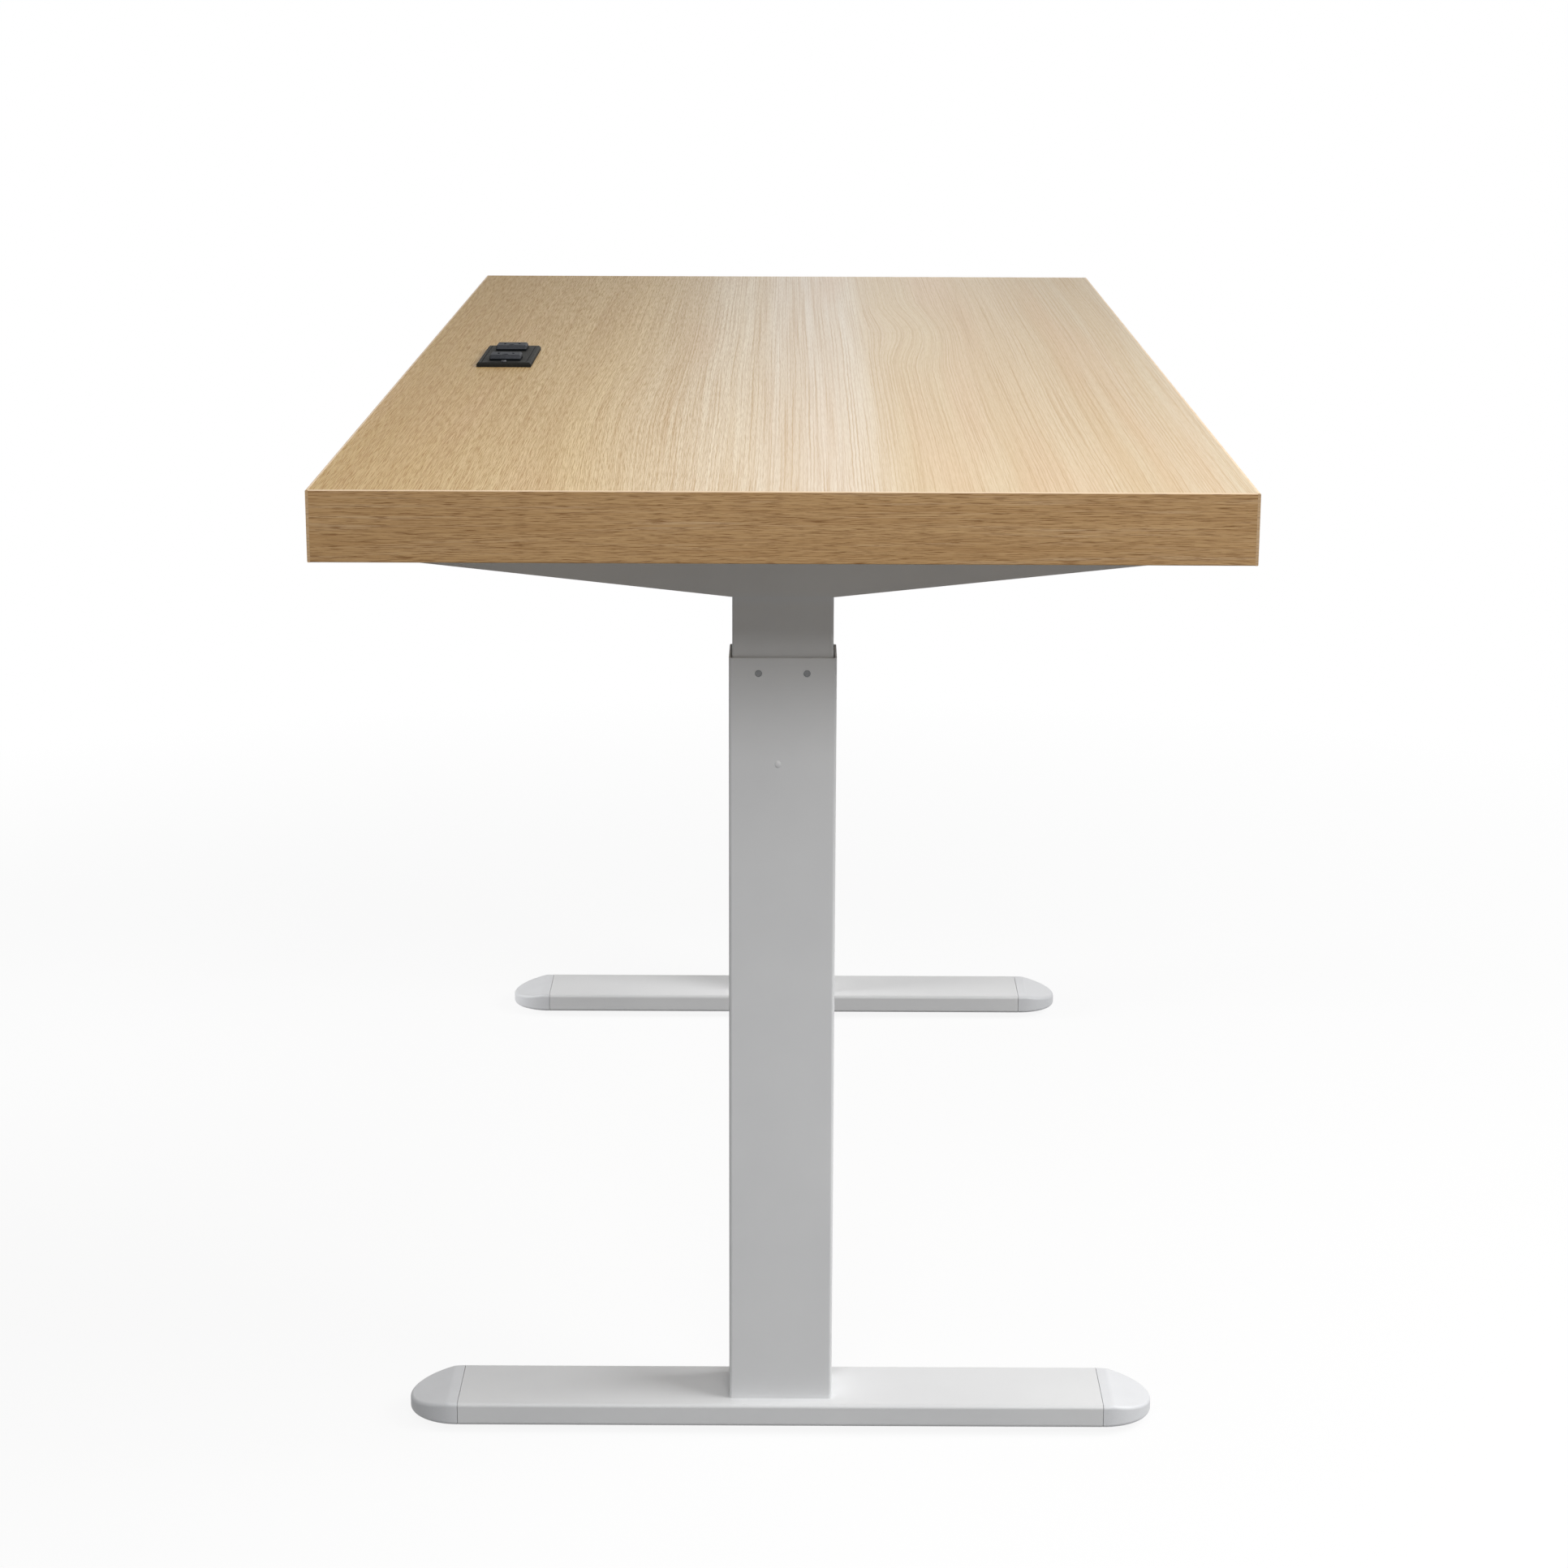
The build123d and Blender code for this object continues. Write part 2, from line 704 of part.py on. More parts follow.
# Control box: a moulded tray under its lid, with the mains inlet and lead sockets at the rear
def control_box():
    rear_y = control_y + control_depth / 2
    low_z = control_top - control_height
    mid_z = control_top - control_height / 2
    with BuildPart() as box:
        with BuildSketch(level(control_x, control_y, low_z)):
            RectangleRounded(control_length, control_depth, control_corner)
        extrude(amount=control_height)
        with BuildSketch(level(control_x, control_y, low_z + control_wall)):
            RectangleRounded(control_length - 2 * control_wall, control_depth - 2 * control_wall,
                             inside_corner(control_corner, control_wall))
        extrude(amount=control_height - control_wall, mode=Mode.SUBTRACT)
        with BuildSketch(front(control_x, rear_y, mid_z)):
            Rectangle(socket_bar_length, control_height)
        extrude(amount=socket_bar_depth)
        inlet_x = control_x + socket_bar_length / 2 - inlet_width
        with BuildSketch(front(inlet_x, rear_y, mid_z)):
            Rectangle(inlet_width, inlet_height)
        extrude(amount=inlet_deep, mode=Mode.SUBTRACT)
        with BuildSketch(front(control_x - socket_bar_length / 2 + 2 * lead_socket_pitch, rear_y, mid_z)):
            with GridLocations(lead_socket_pitch, 0, 3, 1):
                Rectangle(lead_socket_width, lead_socket_height)
        extrude(amount=lead_socket_deep, mode=Mode.SUBTRACT)
    return box.part


def control_box_lid():
    with BuildPart() as lid:
        with BuildSketch(level(control_x, control_y, control_top)):
            RectangleRounded(control_length + 2 * lid_ear, control_depth, control_corner)
        extrude(amount=lid_thick)
        for x, y in control_spots():
            cut_hole((x, y, control_top), (0, 0, 1), small_screw, lid_thick)
    return lid.part


# Places along the handset's front: the window first, then the keys in a row
def key_places():
    cursor = handset_x - handset_length / 2 + handset_corner + key_step + window_width
    places = []
    for name, width in key_row:
        places.append((name, cursor + key_step + width / 2, width))
        cursor += key_step + width
    return places


window_x = handset_x - handset_length / 2 + handset_corner + key_step / 2 + window_width / 2


# Handset case: a shell open upwards, with openings for the window and the keys in its front
def handset_case():
    low_z = under_z - handset_height
    with BuildPart() as case:
        with BuildSketch(level(handset_x, handset_mid_y, low_z)):
            RectangleRounded(handset_length, handset_depth, handset_corner)
        extrude(amount=handset_height)
        fillet(case.edges().group_by(Axis.Z)[0], handset_wall / 2)
        with BuildSketch(level(handset_x, handset_mid_y, low_z + handset_wall)):
            RectangleRounded(handset_length - 2 * handset_wall, handset_depth - 2 * handset_wall,
                             inside_corner(handset_corner, handset_wall))
        extrude(amount=handset_height - handset_wall, mode=Mode.SUBTRACT)
        with BuildSketch(level(handset_x, handset_mid_y, low_z + handset_wall)):
            with GridLocations(handset_screw_span, 0, 2, 1):
                Circle(handset_boss / 2)
        extrude(amount=handset_height - handset_wall)
        for x, y in handset_spots():
            cut_hole((x, y, under_z), (0, 0, 1), small_screw, handset_height)
        with BuildSketch(front(0, handset_front + handset_wall, handset_mid_z)):
            with Locations((window_x, 0)):
                Rectangle(window_width, window_height)
            for name, x, width in key_places():
                with Locations((x, 0)):
                    Rectangle(width + 2 * key_clear, key_height + 2 * key_clear)
        extrude(amount=handset_wall, mode=Mode.SUBTRACT)
        with BuildSketch(front(handset_x, handset_front + handset_depth, handset_mid_z)):
            Circle(grommet_diameter / 2)
        extrude(amount=-grommet_length)
    return case.part


def handset_window():
    with BuildPart() as window:
        with BuildSketch(front(window_x, handset_front + handset_wall, handset_mid_z)):
            Rectangle(window_width - 2 * window_fit, window_height - 2 * window_fit)
        extrude(amount=handset_wall)
    return window.part


# Key: a cap through the front of the case, with a lip behind the wall that keeps it in
def key(x, width):
    with BuildPart() as cap:
        with BuildSketch(front(x, handset_front + handset_wall, handset_mid_z)):
            Rectangle(width, key_height)
        extrude(amount=handset_wall + key_proud)
        fillet(cap.faces().sort_by(Axis.Y)[0].edges(), key_edge)
        with BuildSketch(front(x, handset_front + handset_wall, handset_mid_z)):
            Rectangle(width + 2 * (key_clear + key_lip), key_height + 2 * (key_clear + key_lip))
        extrude(amount=-key_lip)
    return cap.part


# Power module: the face plate with a fine groove round it and an opening for each socket
def power_plate():
    groove_edge = plate_bevel + plate_groove_inset
    with BuildPart() as plate:
        with BuildSketch(level(0, module_y, rest_height)):
            Rectangle(plate_length, plate_width)
        extrude(amount=plate_thick)
        chamfer(plate.faces().sort_by(Axis.Z)[-1].edges(), plate_bevel)
        with BuildSketch(level(0, module_y, rest_height)):
            with GridLocations(socket_pitch, 0, 2, 1):
                Rectangle(socket_size + 2 * socket_fit, socket_size + 2 * socket_fit)
        extrude(amount=plate_thick, mode=Mode.SUBTRACT)
        with BuildSketch(level(0, module_y, rest_height + plate_thick)):
            Rectangle(plate_length - 2 * groove_edge, plate_width - 2 * groove_edge)
            Rectangle(plate_length - 2 * (groove_edge + plate_groove),
                      plate_width - 2 * (groove_edge + plate_groove), mode=Mode.SUBTRACT)
        extrude(amount=-plate_groove, mode=Mode.SUBTRACT)
        for end in (-1, 1):
            cut_hole((end * plate_screw_x, module_y, rest_height), (0, 0, 1), plate_screw, plate_thick)
    return plate.part


# Socket: a block sloping at front and back, trimmed at its ends, with a lip and a body in the box
def power_socket(x):
    seat_z = rest_height + plate_thick
    slope = socket_proud - socket_skirt
    with BuildPart() as socket:
        with BuildSketch(level(x, module_y, rest_height)):
            Rectangle(socket_size, socket_size)
        extrude(amount=plate_thick + socket_proud)
        chamfer(socket.faces().sort_by(Axis.Z)[-1].edges().filter_by(Axis.Y), slope)
        shoulder_z = seat_z + socket_skirt
        for end in (0, -1):
            end_face = socket.faces().sort_by(Axis.Y)[end]
            chamfer(end_face.edges().filter_by(lambda edge: edge.center().Z > shoulder_z), socket_end_slope)
        with BuildSketch(level(x, module_y, rest_height)):
            Rectangle(socket_size + 2 * socket_lip, socket_size + 2 * socket_lip)
        extrude(amount=-socket_lip_thick)
        with BuildSketch(level(x, module_y, rest_height)):
            Rectangle(socket_size - 2 * socket_lip, socket_size - 2 * socket_lip)
        extrude(amount=-socket_body)
        with BuildSketch(level(x, module_y, seat_z + socket_proud)):
            with GridLocations(0, blade_spread, 1, 2):
                Rectangle(blade_length, blade_width)
            with Locations((-blade_length, 0)):
                Circle(earth_diameter / 2)
        extrude(amount=-blade_deep, mode=Mode.SUBTRACT)
    return socket.part


# Back box of the module: a deep tray in the desktop's cut-out, with a lead grommet below
def power_box():
    low_z = rest_height - box_depth
    with BuildPart() as box:
        with BuildSketch(level(0, module_y, low_z)):
            Rectangle(box_length, box_width)
        extrude(amount=box_depth)
        with BuildSketch(level(0, module_y, low_z + box_wall)):
            Rectangle(box_length - 2 * box_wall, box_width - 2 * box_wall)
        extrude(amount=box_depth - box_wall, mode=Mode.SUBTRACT)
        with BuildSketch(level(0, module_y, low_z)):
            Circle(grommet_diameter / 2)
        extrude(amount=-grommet_length)
    return box.part


def power_screws():
    with BuildPart() as screws:
        for end in (-1, 1):
            seat = (end * plate_screw_x, module_y, rest_height + plate_thick)
            add_screw(seat, (0, 0, -1), plate_screw, plate_screw_bite)
    return screws.part


# All screws of the upper frame
def frame_screws():
    with BuildPart() as screws:
        for name, leg_x, inward in legs:
            wall_x = leg_x + inward * bracket_width / 2
            for x, y in flange_spots(leg_x):
                add_screw((x, y, under_z - bracket_sheet), (0, 0, 1), wood_screw, wood_bite)
            for x, y in head_spots(leg_x):
                seat = (x, y, housing_low - head_plate)
                add_screw(seat, (0, 0, 1), machine_screw, head_plate + metal_bite / 2)
            for y, z in housing_spots():
                add_screw((wall_x, y, z), (-inward, 0, 0), machine_screw, bracket_sheet + metal_bite / 2)
            for y, z in rail_spots():
                seat = (wall_x + inward * rail_foot, y, z)
                add_screw(seat, (-inward, 0, 0), machine_screw, rail_foot + bracket_sheet + metal_bite / 2)
        for x, y in control_spots():
            add_screw((x, y, control_top), (0, 0, 1), small_screw, wood_bite / 2)
        for x, y in handset_spots():
            seat = (x, y, under_z - handset_height)
            add_screw(seat, (0, 0, 1), small_screw, handset_height + wood_bite / 2)
    return screws.part


os.makedirs("parts", exist_ok=True)

for leg, leg_x, inward in legs:
    save(foot_bar(leg_x), f"{leg}_foot_bar")
    for end_name, end in foot_ends:
        save(foot_cap(leg_x, end), f"{leg}_{end_name}_foot_cap")
        save(leveller(leg_x, end), f"{leg}_{end_name}_leveller")
    save(foot_bolts(leg_x), f"{leg}_foot_bolts")
    save(outer_tube(leg_x), f"{leg}_outer_tube")
    save(upper_glide(leg_x), f"{leg}_upper_glide")
    save(push_tube(leg_x), f"{leg}_push_tube")
    save(drive_nut(leg_x), f"{leg}_drive_nut")
    save(inner_tube(leg_x), f"{leg}_inner_tube")
    save(lower_glide(leg_x), f"{leg}_lower_glide")
    save(spindle(leg_x), f"{leg}_spindle")
    save(worm_wheel(leg_x), f"{leg}_worm_wheel")
    save(worm_shaft(leg_x, inward), f"{leg}_worm_shaft")
    save(gear_housing(leg_x, inward), f"{leg}_gear_housing")
    save(gear_cover(leg_x), f"{leg}_gear_cover")
    save(motor(leg_x, inward), f"{leg}_motor")
    save(side_bracket(leg_x, inward), f"{leg}_side_bracket")

for end_name, end in foot_ends:
    save(cross_rail(end), f"{end_name}_rail")
    save(edge_band(top_length, band_thick, 0, end * (top_depth - band_thick) / 2), f"{end_name}_edge_band")
for leg, leg_x, inward in legs:
    save(edge_band(band_thick, core_depth, -inward * (top_length - band_thick) / 2, 0), f"{leg}_edge_band")
    save(power_socket(-inward * socket_pitch / 2), f"{leg}_power_socket")
save(desktop_board(), "desktop_board")
save(control_box(), "control_box")
save(control_box_lid(), "control_box_lid")
save(handset_case(), "handset_case")
save(handset_window(), "handset_window")
for name, x, width in key_places():
    save(key(x, width), name)
save(power_plate(), "power_plate")
save(power_box(), "power_box")
save(power_screws(), "power_screws")
save(frame_screws(), "frame_screws")
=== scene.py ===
import json
import math

import bmesh
import bpy
from mathutils import Matrix, Vector


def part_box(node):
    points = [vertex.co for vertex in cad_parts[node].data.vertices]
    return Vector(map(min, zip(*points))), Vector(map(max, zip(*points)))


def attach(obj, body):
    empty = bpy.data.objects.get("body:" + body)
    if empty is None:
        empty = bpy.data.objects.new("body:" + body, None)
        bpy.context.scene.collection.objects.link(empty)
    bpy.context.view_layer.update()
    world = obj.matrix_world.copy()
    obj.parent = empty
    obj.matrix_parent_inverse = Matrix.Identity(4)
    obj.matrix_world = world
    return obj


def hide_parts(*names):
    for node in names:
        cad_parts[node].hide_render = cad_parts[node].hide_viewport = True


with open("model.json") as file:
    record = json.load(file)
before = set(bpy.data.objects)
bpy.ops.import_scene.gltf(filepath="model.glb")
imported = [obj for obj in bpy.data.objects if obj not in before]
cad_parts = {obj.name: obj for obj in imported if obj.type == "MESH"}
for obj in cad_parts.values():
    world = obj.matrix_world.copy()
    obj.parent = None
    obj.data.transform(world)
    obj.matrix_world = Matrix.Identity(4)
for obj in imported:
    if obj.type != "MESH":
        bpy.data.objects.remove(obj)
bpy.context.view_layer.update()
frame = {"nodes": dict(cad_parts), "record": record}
nodes = frame["nodes"]
slotOf = {row["node"]: row["material_slot"] for row in frame["record"]["subparts"]}
legs = ("left", "right")
ends = ("front", "rear")
hair = 1e-5    # places that differ by less are the same
weld = {"node": 1e-6, "piece": 1e-7}
noiseBand = (0.3, 0.7)    # most of a noise's values lie in it
edgeAngle = 32.0    # edges that turn by more degrees stay crisp
print("frame loaded:", len(nodes), "nodes")


# Small helpers for node trees: a value that is a socket is linked, any other is set on the input
def feed(tree, socket, value):
    if isinstance(value, bpy.types.NodeSocket):
        tree.links.new(value, socket)
    else:
        socket.default_value = value


def addNode(tree, kind, inputs=None, **settings):
    node = tree.nodes.new(kind if "Node" in kind else "ShaderNode" + kind)
    for key, value in settings.items():
        setattr(node, key, value)
    for key, value in (inputs or {}).items():
        feed(tree, node.inputs[key], value)
    return node


def objectCoords(tree):
    return addNode(tree, "TexCoord").outputs["Object"]


def noise(tree, vector, scale, detail=2.0, roughness=0.5):
    values = {"Vector": vector, "Scale": scale, "Detail": detail, "Roughness": roughness}
    return addNode(tree, "TexNoise", values).outputs["Fac"]


def maths(tree, operation, a, b=0.0):
    return addNode(tree, "Math", {0: a, 1: b}, operation=operation).outputs[0]


def joined(tree, x=0.0, y=0.0, z=0.0):
    return addNode(tree, "CombineXYZ", {0: x, 1: y, 2: z}).outputs[0]


def remap(tree, value, low, high, toLow, toHigh):
    values = {"Value": value, "From Min": low, "From Max": high, "To Min": toLow, "To Max": toHigh}
    return addNode(tree, "MapRange", values).outputs[0]


def mixColour(tree, factor, a, b, blend="MIX"):
    node = addNode(tree, "Mix", data_type="RGBA", blend_type=blend)
    for socket, value in zip((node.inputs[0], node.inputs[6], node.inputs[7]), (factor, a, b)):
        feed(tree, socket, value)
    return node.outputs[2]


def ramp(tree, factor, stops):
    node = addNode(tree, "ValToRGB", {"Fac": factor})
    node.color_ramp.interpolation = "EASE"
    points = node.color_ramp.elements
    while len(points) < len(stops):
        points.new(1.0)
    for point, (place, colour) in zip(points, stops):
        point.position = place
        point.color = colour
    return node.outputs["Color"]


def bump(tree, height, strength, distance):
    values = {"Height": height, "Strength": strength, "Distance": distance}
    return addNode(tree, "Bump", values).outputs["Normal"]


def rgb(red, green, blue):
    return (red, green, blue, 1.0)


def startMaterial(name, values):
    material = bpy.data.materials.new(name)
    material.use_nodes = True
    tree = material.node_tree
    shader = tree.nodes["Principled BSDF"]
    for key, value in values.items():
        shader.inputs[key].default_value = value
    return material, tree, shader


# Oak print: noise layers stretched along the grain, laid over each other from pale to dark
oakTop = {
    "specular": 0.06, "smooth": 0.42, "rough": 0.58, "bump": 0.30, "bumpDepth": 0.0003,
    # the plank tones are partly the board's own colour and partly painted reflection: the pale stripe across
    # the middle stands in for the far lamps' glare
    "planksAndGlare": ((0.00, rgb(0.590, 0.488, 0.330)), (0.22, rgb(0.605, 0.468, 0.290)),
               (0.34, rgb(0.600, 0.474, 0.286)), (0.46, rgb(0.700, 0.622, 0.520)),
               (0.58, rgb(0.738, 0.632, 0.468)), (0.74, rgb(0.672, 0.512, 0.276)),
               (1.00, rgb(0.550, 0.380, 0.156))),
    "wave": ((0.5, 3.5, 0.016), (2.0, 9.0, 0.0036), (8.0, 30.0, 0.0008), (30.0, 90.0, 0.0011)),
    "eyes": ({"at": (0.20, -0.120), "reach": (0.28, 0.055), "lift": 0.014},
             {"at": (-0.34, 0.140), "reach": (0.50, 0.080), "lift": -0.009}),
    "poreSide": (-0.02, 0.20, 0.40, 1.45),
    "layers": (
        {"along": 0.22, "across": 26.0, "detail": 2.0, "low": 0.36, "high": 0.66, "amount": 0.42,
         "colour": rgb(0.530, 0.370, 0.178)},
        {"along": 0.45, "across": 105.0, "detail": 2.0, "low": 0.40, "high": 0.68, "amount": 0.34,
         "colour": rgb(0.500, 0.325, 0.145)},
        {"along": 1.1, "across": 17.0, "detail": 1.0, "low": 0.52, "high": 0.72, "amount": 0.34,
         "colour": rgb(0.600, 0.385, 0.225)},
        {"along": 1.8, "across": 760.0, "detail": 1.0, "low": 0.46, "high": 0.72, "amount": 0.64,
         "colour": rgb(0.430, 0.255, 0.098)},
        {"along": 34.0, "across": 1900.0, "detail": 2.0, "low": 0.45, "high": 0.66, "amount": 0.56,
         "colour": rgb(0.335, 0.185, 0.062)},
    ),
}
oakEdge = {
    "specular": 0.26, "smooth": 0.52, "rough": 0.68, "bump": 0.22, "bumpDepth": 0.0003,
    # the edge colour is partly the band's paler core and partly a painted highlight along its up-tilted
    # rounded edge
    "pale": rgb(0.556, 0.354, 0.168), "arrisCoreAndHighlight": rgb(0.740, 0.570, 0.390),
    "arrisFacing": (0.10, 0.45), "arrisShare": 0.9, "cutFacing": (0.7, 0.9), "cutShare": 0.28,
    "wave": ((3.0, 20.0, 0.0030), (22.0, 80.0, 0.0006)),
    "layers": (
        {"along": 1.2, "across": 60.0, "detail": 3.0, "low": 0.35, "high": 0.65, "amount": 0.60,
         "colour": rgb(0.488, 0.298, 0.134)},
        {"along": 4.0, "across": 420.0, "detail": 2.0, "low": 0.42, "high": 0.70, "amount": 0.55,
         "colour": rgb(0.420, 0.241, 0.098)},
        {"along": 9.0, "across": 330.0, "detail": 2.0, "low": 0.54, "high": 0.74, "amount": 0.50,
         "colour": rgb(0.588, 0.420, 0.258)},
        {"along": 11.0, "across": 1500.0, "detail": 2.0, "low": 0.44, "high": 0.66, "amount": 0.55,
         "colour": rgb(0.344, 0.186, 0.072)},
        {"along": 64.0, "across": 2300.0, "detail": 2.0, "low": 0.53, "high": 0.62, "amount": 0.88,
         "colour": rgb(0.215, 0.103, 0.034)},
    ),
}
oakNoise = {"roughness": 0.6, "waveDetail": 2.0, "seedStep": 7.3, "firstLayer": 10}


def waved(tree, along, across, value, waves):
    for seed, (alongScale, acrossScale, reach) in enumerate(waves):
        drift = grainNoise(tree, along, across, alongScale, acrossScale, oakNoise["waveDetail"], seed)
        swing = maths(tree, "MULTIPLY", maths(tree, "SUBTRACT", drift, 0.5), reach)
        value = maths(tree, "ADD", value, swing)
    return value


def grainNoise(tree, along, across, alongScale, acrossScale, detail, seed):
    x = maths(tree, "MULTIPLY", along, alongScale)
    y = maths(tree, "MULTIPLY", across, acrossScale)
    place = joined(tree, x, y, oakNoise["seedStep"] * seed)
    return noise(tree, place, 1.0, detail, oakNoise["roughness"])


# The grain bends round a few soft eyes in the board
def bentGrain(tree, along, across, oak):
    field = waved(tree, along, across, across, oak["wave"])
    for eye in oak["eyes"]:
        place = joined(tree, along, across)
        local = {"Vector": place, "Location": (*eye["at"], 0.0), "Scale": (*eye["reach"], 1.0)}
        local = addNode(tree, "Mapping", local, vector_type="TEXTURE").outputs["Vector"]
        away = addNode(tree, "VectorMath", {0: local}, operation="LENGTH").outputs["Value"]
        lift = remap(tree, away, 0.0, 1.0, eye["lift"], 0.0)
        lift.node.interpolation_type = "SMOOTHSTEP"
        field = maths(tree, "ADD", field, lift)
    return field


def paintOak(tree, shader, along, across, oak, colour, pores=1.0):
    for seed, layer in enumerate(oak["layers"], oakNoise["firstLayer"]):
        grain = grainNoise(tree, along, across, layer["along"], layer["across"], layer["detail"], seed)
        share = remap(tree, grain, layer["low"], layer["high"], 0.0, layer["amount"])
        if layer is oak["layers"][-1]:
            share = maths(tree, "MULTIPLY", share, pores)
        colour = mixColour(tree, share, colour, layer["colour"])
    # the last layer is the pores, which are rougher and lie a little deep
    tree.links.new(remap(tree, share, 0.0, 1.0, oak["smooth"], oak["rough"]), shader.inputs["Roughness"])
    height = maths(tree, "SUBTRACT", 1.0, share)
    tree.links.new(bump(tree, height, oak["bump"], oak["bumpDepth"]), shader.inputs["Normal"])
    return colour


def oakTopMaterial():
    material, tree, shader = startMaterial("oakTop", {"Specular IOR Level": oakTop["specular"]})
    place = addNode(tree, "SeparateXYZ", {0: objectCoords(tree)}).outputs
    field = bentGrain(tree, place["X"], place["Y"], oakTop)
    low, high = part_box("desktop_board")
    # painted reflection: the pale middle of this ramp stands in for glare on the board, laid over the plank
    # tones
    planksAndGlare = ramp(tree, remap(tree, field, low[1], high[1], 0.0, 1.0), oakTop["planksAndGlare"])
    pores = remap(tree, place["Y"], *oakTop["poreSide"])
    colour = paintOak(tree, shader, place["X"], field, oakTop, planksAndGlare, pores)
    tree.links.new(colour, shader.inputs["Base Color"])
    return material


# A band's cut ends show its paler core; its rounded edge is paler too, partly the core showing at the cut and
# partly a painted highlight on the up-tilted face
def oakEdgeMaterial(name, along, cutEnds):
    material, tree, shader = startMaterial(name, {"Specular IOR Level": oakEdge["specular"]})
    coords = addNode(tree, "TexCoord").outputs
    place = addNode(tree, "SeparateXYZ", {0: coords["Object"]}).outputs
    facing = addNode(tree, "SeparateXYZ", {0: coords["Normal"]}).outputs
    field = waved(tree, place[along], place["Z"], place["Z"], oakEdge["wave"])
    colour = paintOak(tree, shader, place[along], field, oakEdge, oakEdge["pale"])
    # up-tilted faces are paled, partly for the core at the rounded edge and partly as painted highlight; cut
    # ends show the core
    coreAndHighlight = remap(tree, facing["Z"], *oakEdge["arrisFacing"], 0.0, oakEdge["arrisShare"])
    if cutEnds:
        endways = maths(tree, "ABSOLUTE", facing[along])
        endFace = remap(tree, endways, *oakEdge["cutFacing"], 0.0, oakEdge["cutShare"])
        coreAndHighlight = maths(tree, "MAXIMUM", coreAndHighlight, endFace)
    tree.links.new(mixColour(tree, coreAndHighlight, colour, oakEdge["arrisCoreAndHighlight"]), shader.inputs["Base Color"])
    return material


# Powder coat: white, satin, with a fine orange peel and a faint drift of tone
powderCoat = {"white": rgb(0.800, 0.805, 0.810), "shade": rgb(0.765, 0.770, 0.778),
              "driftScale": 9.0, "driftDetail": 3.0, "driftBand": (0.35, 0.65),
              "peelScale": 1150.0, "peelDetail": 2.0, "bump": 0.10, "bumpDepth": 0.0002,
              "rough": (0.36, 0.50), "specular": 0.36}


def powderCoatMaterial():
    coat = powderCoat
    material, tree, shader = startMaterial("whitePowderCoat", {"Specular IOR Level": coat["specular"]})
    place = objectCoords(tree)
    drift = noise(tree, place, coat["driftScale"], coat["driftDetail"])
    peel = noise(tree, place, coat["peelScale"], coat["peelDetail"])
    tone = remap(tree, drift, *coat["driftBand"], 0.0, 1.0)
    tree.links.new(mixColour(tree, tone, coat["white"], coat["shade"]), shader.inputs["Base Color"])
    tree.links.new(remap(tree, peel, *noiseBand, *coat["rough"]), shader.inputs["Roughness"])
    tree.links.new(bump(tree, peel, coat["bump"], coat["bumpDepth"]), shader.inputs["Normal"])
    return material


# Moulded plastics and plain metals share one recipe: two tones, a grain and a roughness band
plainLooks = {
    "white_plastic": {"dark": rgb(0.740, 0.750, 0.770), "light": rgb(0.800, 0.810, 0.830),
                      "grain": 1500.0, "rough": (0.38, 0.50)},
    "black_plastic": {"dark": rgb(0.008, 0.008, 0.007), "light": rgb(0.026, 0.025, 0.022),
                      "grain": 700.0, "rough": (0.62, 0.80), "specular": 0.08},
    "socket_plastic": {"dark": rgb(0.028, 0.030, 0.034), "light": rgb(0.066, 0.069, 0.077),
                       "grain": 900.0, "rough": (0.55, 0.70), "specular": 0.04,
                       # the darkest tone here is painted shade, laid on the socket blocks' lower sides where
                       # shadow falls
                       "skirtShadeTop": 0.7767, "skirtShade": rgb(0.004, 0.005, 0.006)},
    "grey_plastic": {"dark": rgb(0.280, 0.290, 0.300), "light": rgb(0.360, 0.370, 0.380),
                     "grain": 900.0, "rough": (0.35, 0.50)},
    "zinc_steel": {"dark": rgb(0.550, 0.560, 0.580), "light": rgb(0.680, 0.690, 0.710),
                   "grain": 700.0, "rough": (0.28, 0.42), "depth": 0.00005, "metallic": 1.0},
    "black_steel": {"dark": rgb(0.030, 0.030, 0.032), "light": rgb(0.060, 0.060, 0.064),
                    "grain": 700.0, "rough": (0.24, 0.36), "depth": 0.00005, "metallic": 1.0},
    "brass": {"dark": rgb(0.660, 0.500, 0.230), "light": rgb(0.760, 0.600, 0.310),
              "grain": 700.0, "rough": (0.25, 0.40), "depth": 0.00005, "metallic": 1.0},
    "wheel_nylon": {"dark": rgb(0.760, 0.740, 0.670), "light": rgb(0.840, 0.820, 0.760),
                    "grain": 800.0, "rough": (0.40, 0.55)},
    "cast_aluminium": {"dark": rgb(0.520, 0.530, 0.540), "light": rgb(0.640, 0.650, 0.660),
                       "grain": 500.0, "rough": (0.42, 0.60), "depth": 0.0003, "metallic": 1.0},
    "motor_paint": {"dark": rgb(0.025, 0.025, 0.027), "light": rgb(0.060, 0.060, 0.064),
                    "grain": 900.0, "rough": (0.32, 0.48)},
    "control_plastic": {"dark": rgb(0.030, 0.030, 0.033), "light": rgb(0.068, 0.068, 0.072),
                        "grain": 1100.0, "rough": (0.45, 0.62)},
    "dark_window": {"dark": rgb(0.006, 0.006, 0.007), "light": rgb(0.012, 0.012, 0.014),
                    "grain": 300.0, "rough": (0.05, 0.09), "depth": 0.00001},
    "key_plastic": {"dark": rgb(0.080, 0.080, 0.086), "light": rgb(0.120, 0.120, 0.127),
                    "grain": 1300.0, "rough": (0.42, 0.58)},
}
plainGrain = {"detail": 3.0, "driftStretch": 40.0, "driftDetail": 2.0, "driftShare": 0.4,
              "bump": 0.3, "depth": 0.0001}


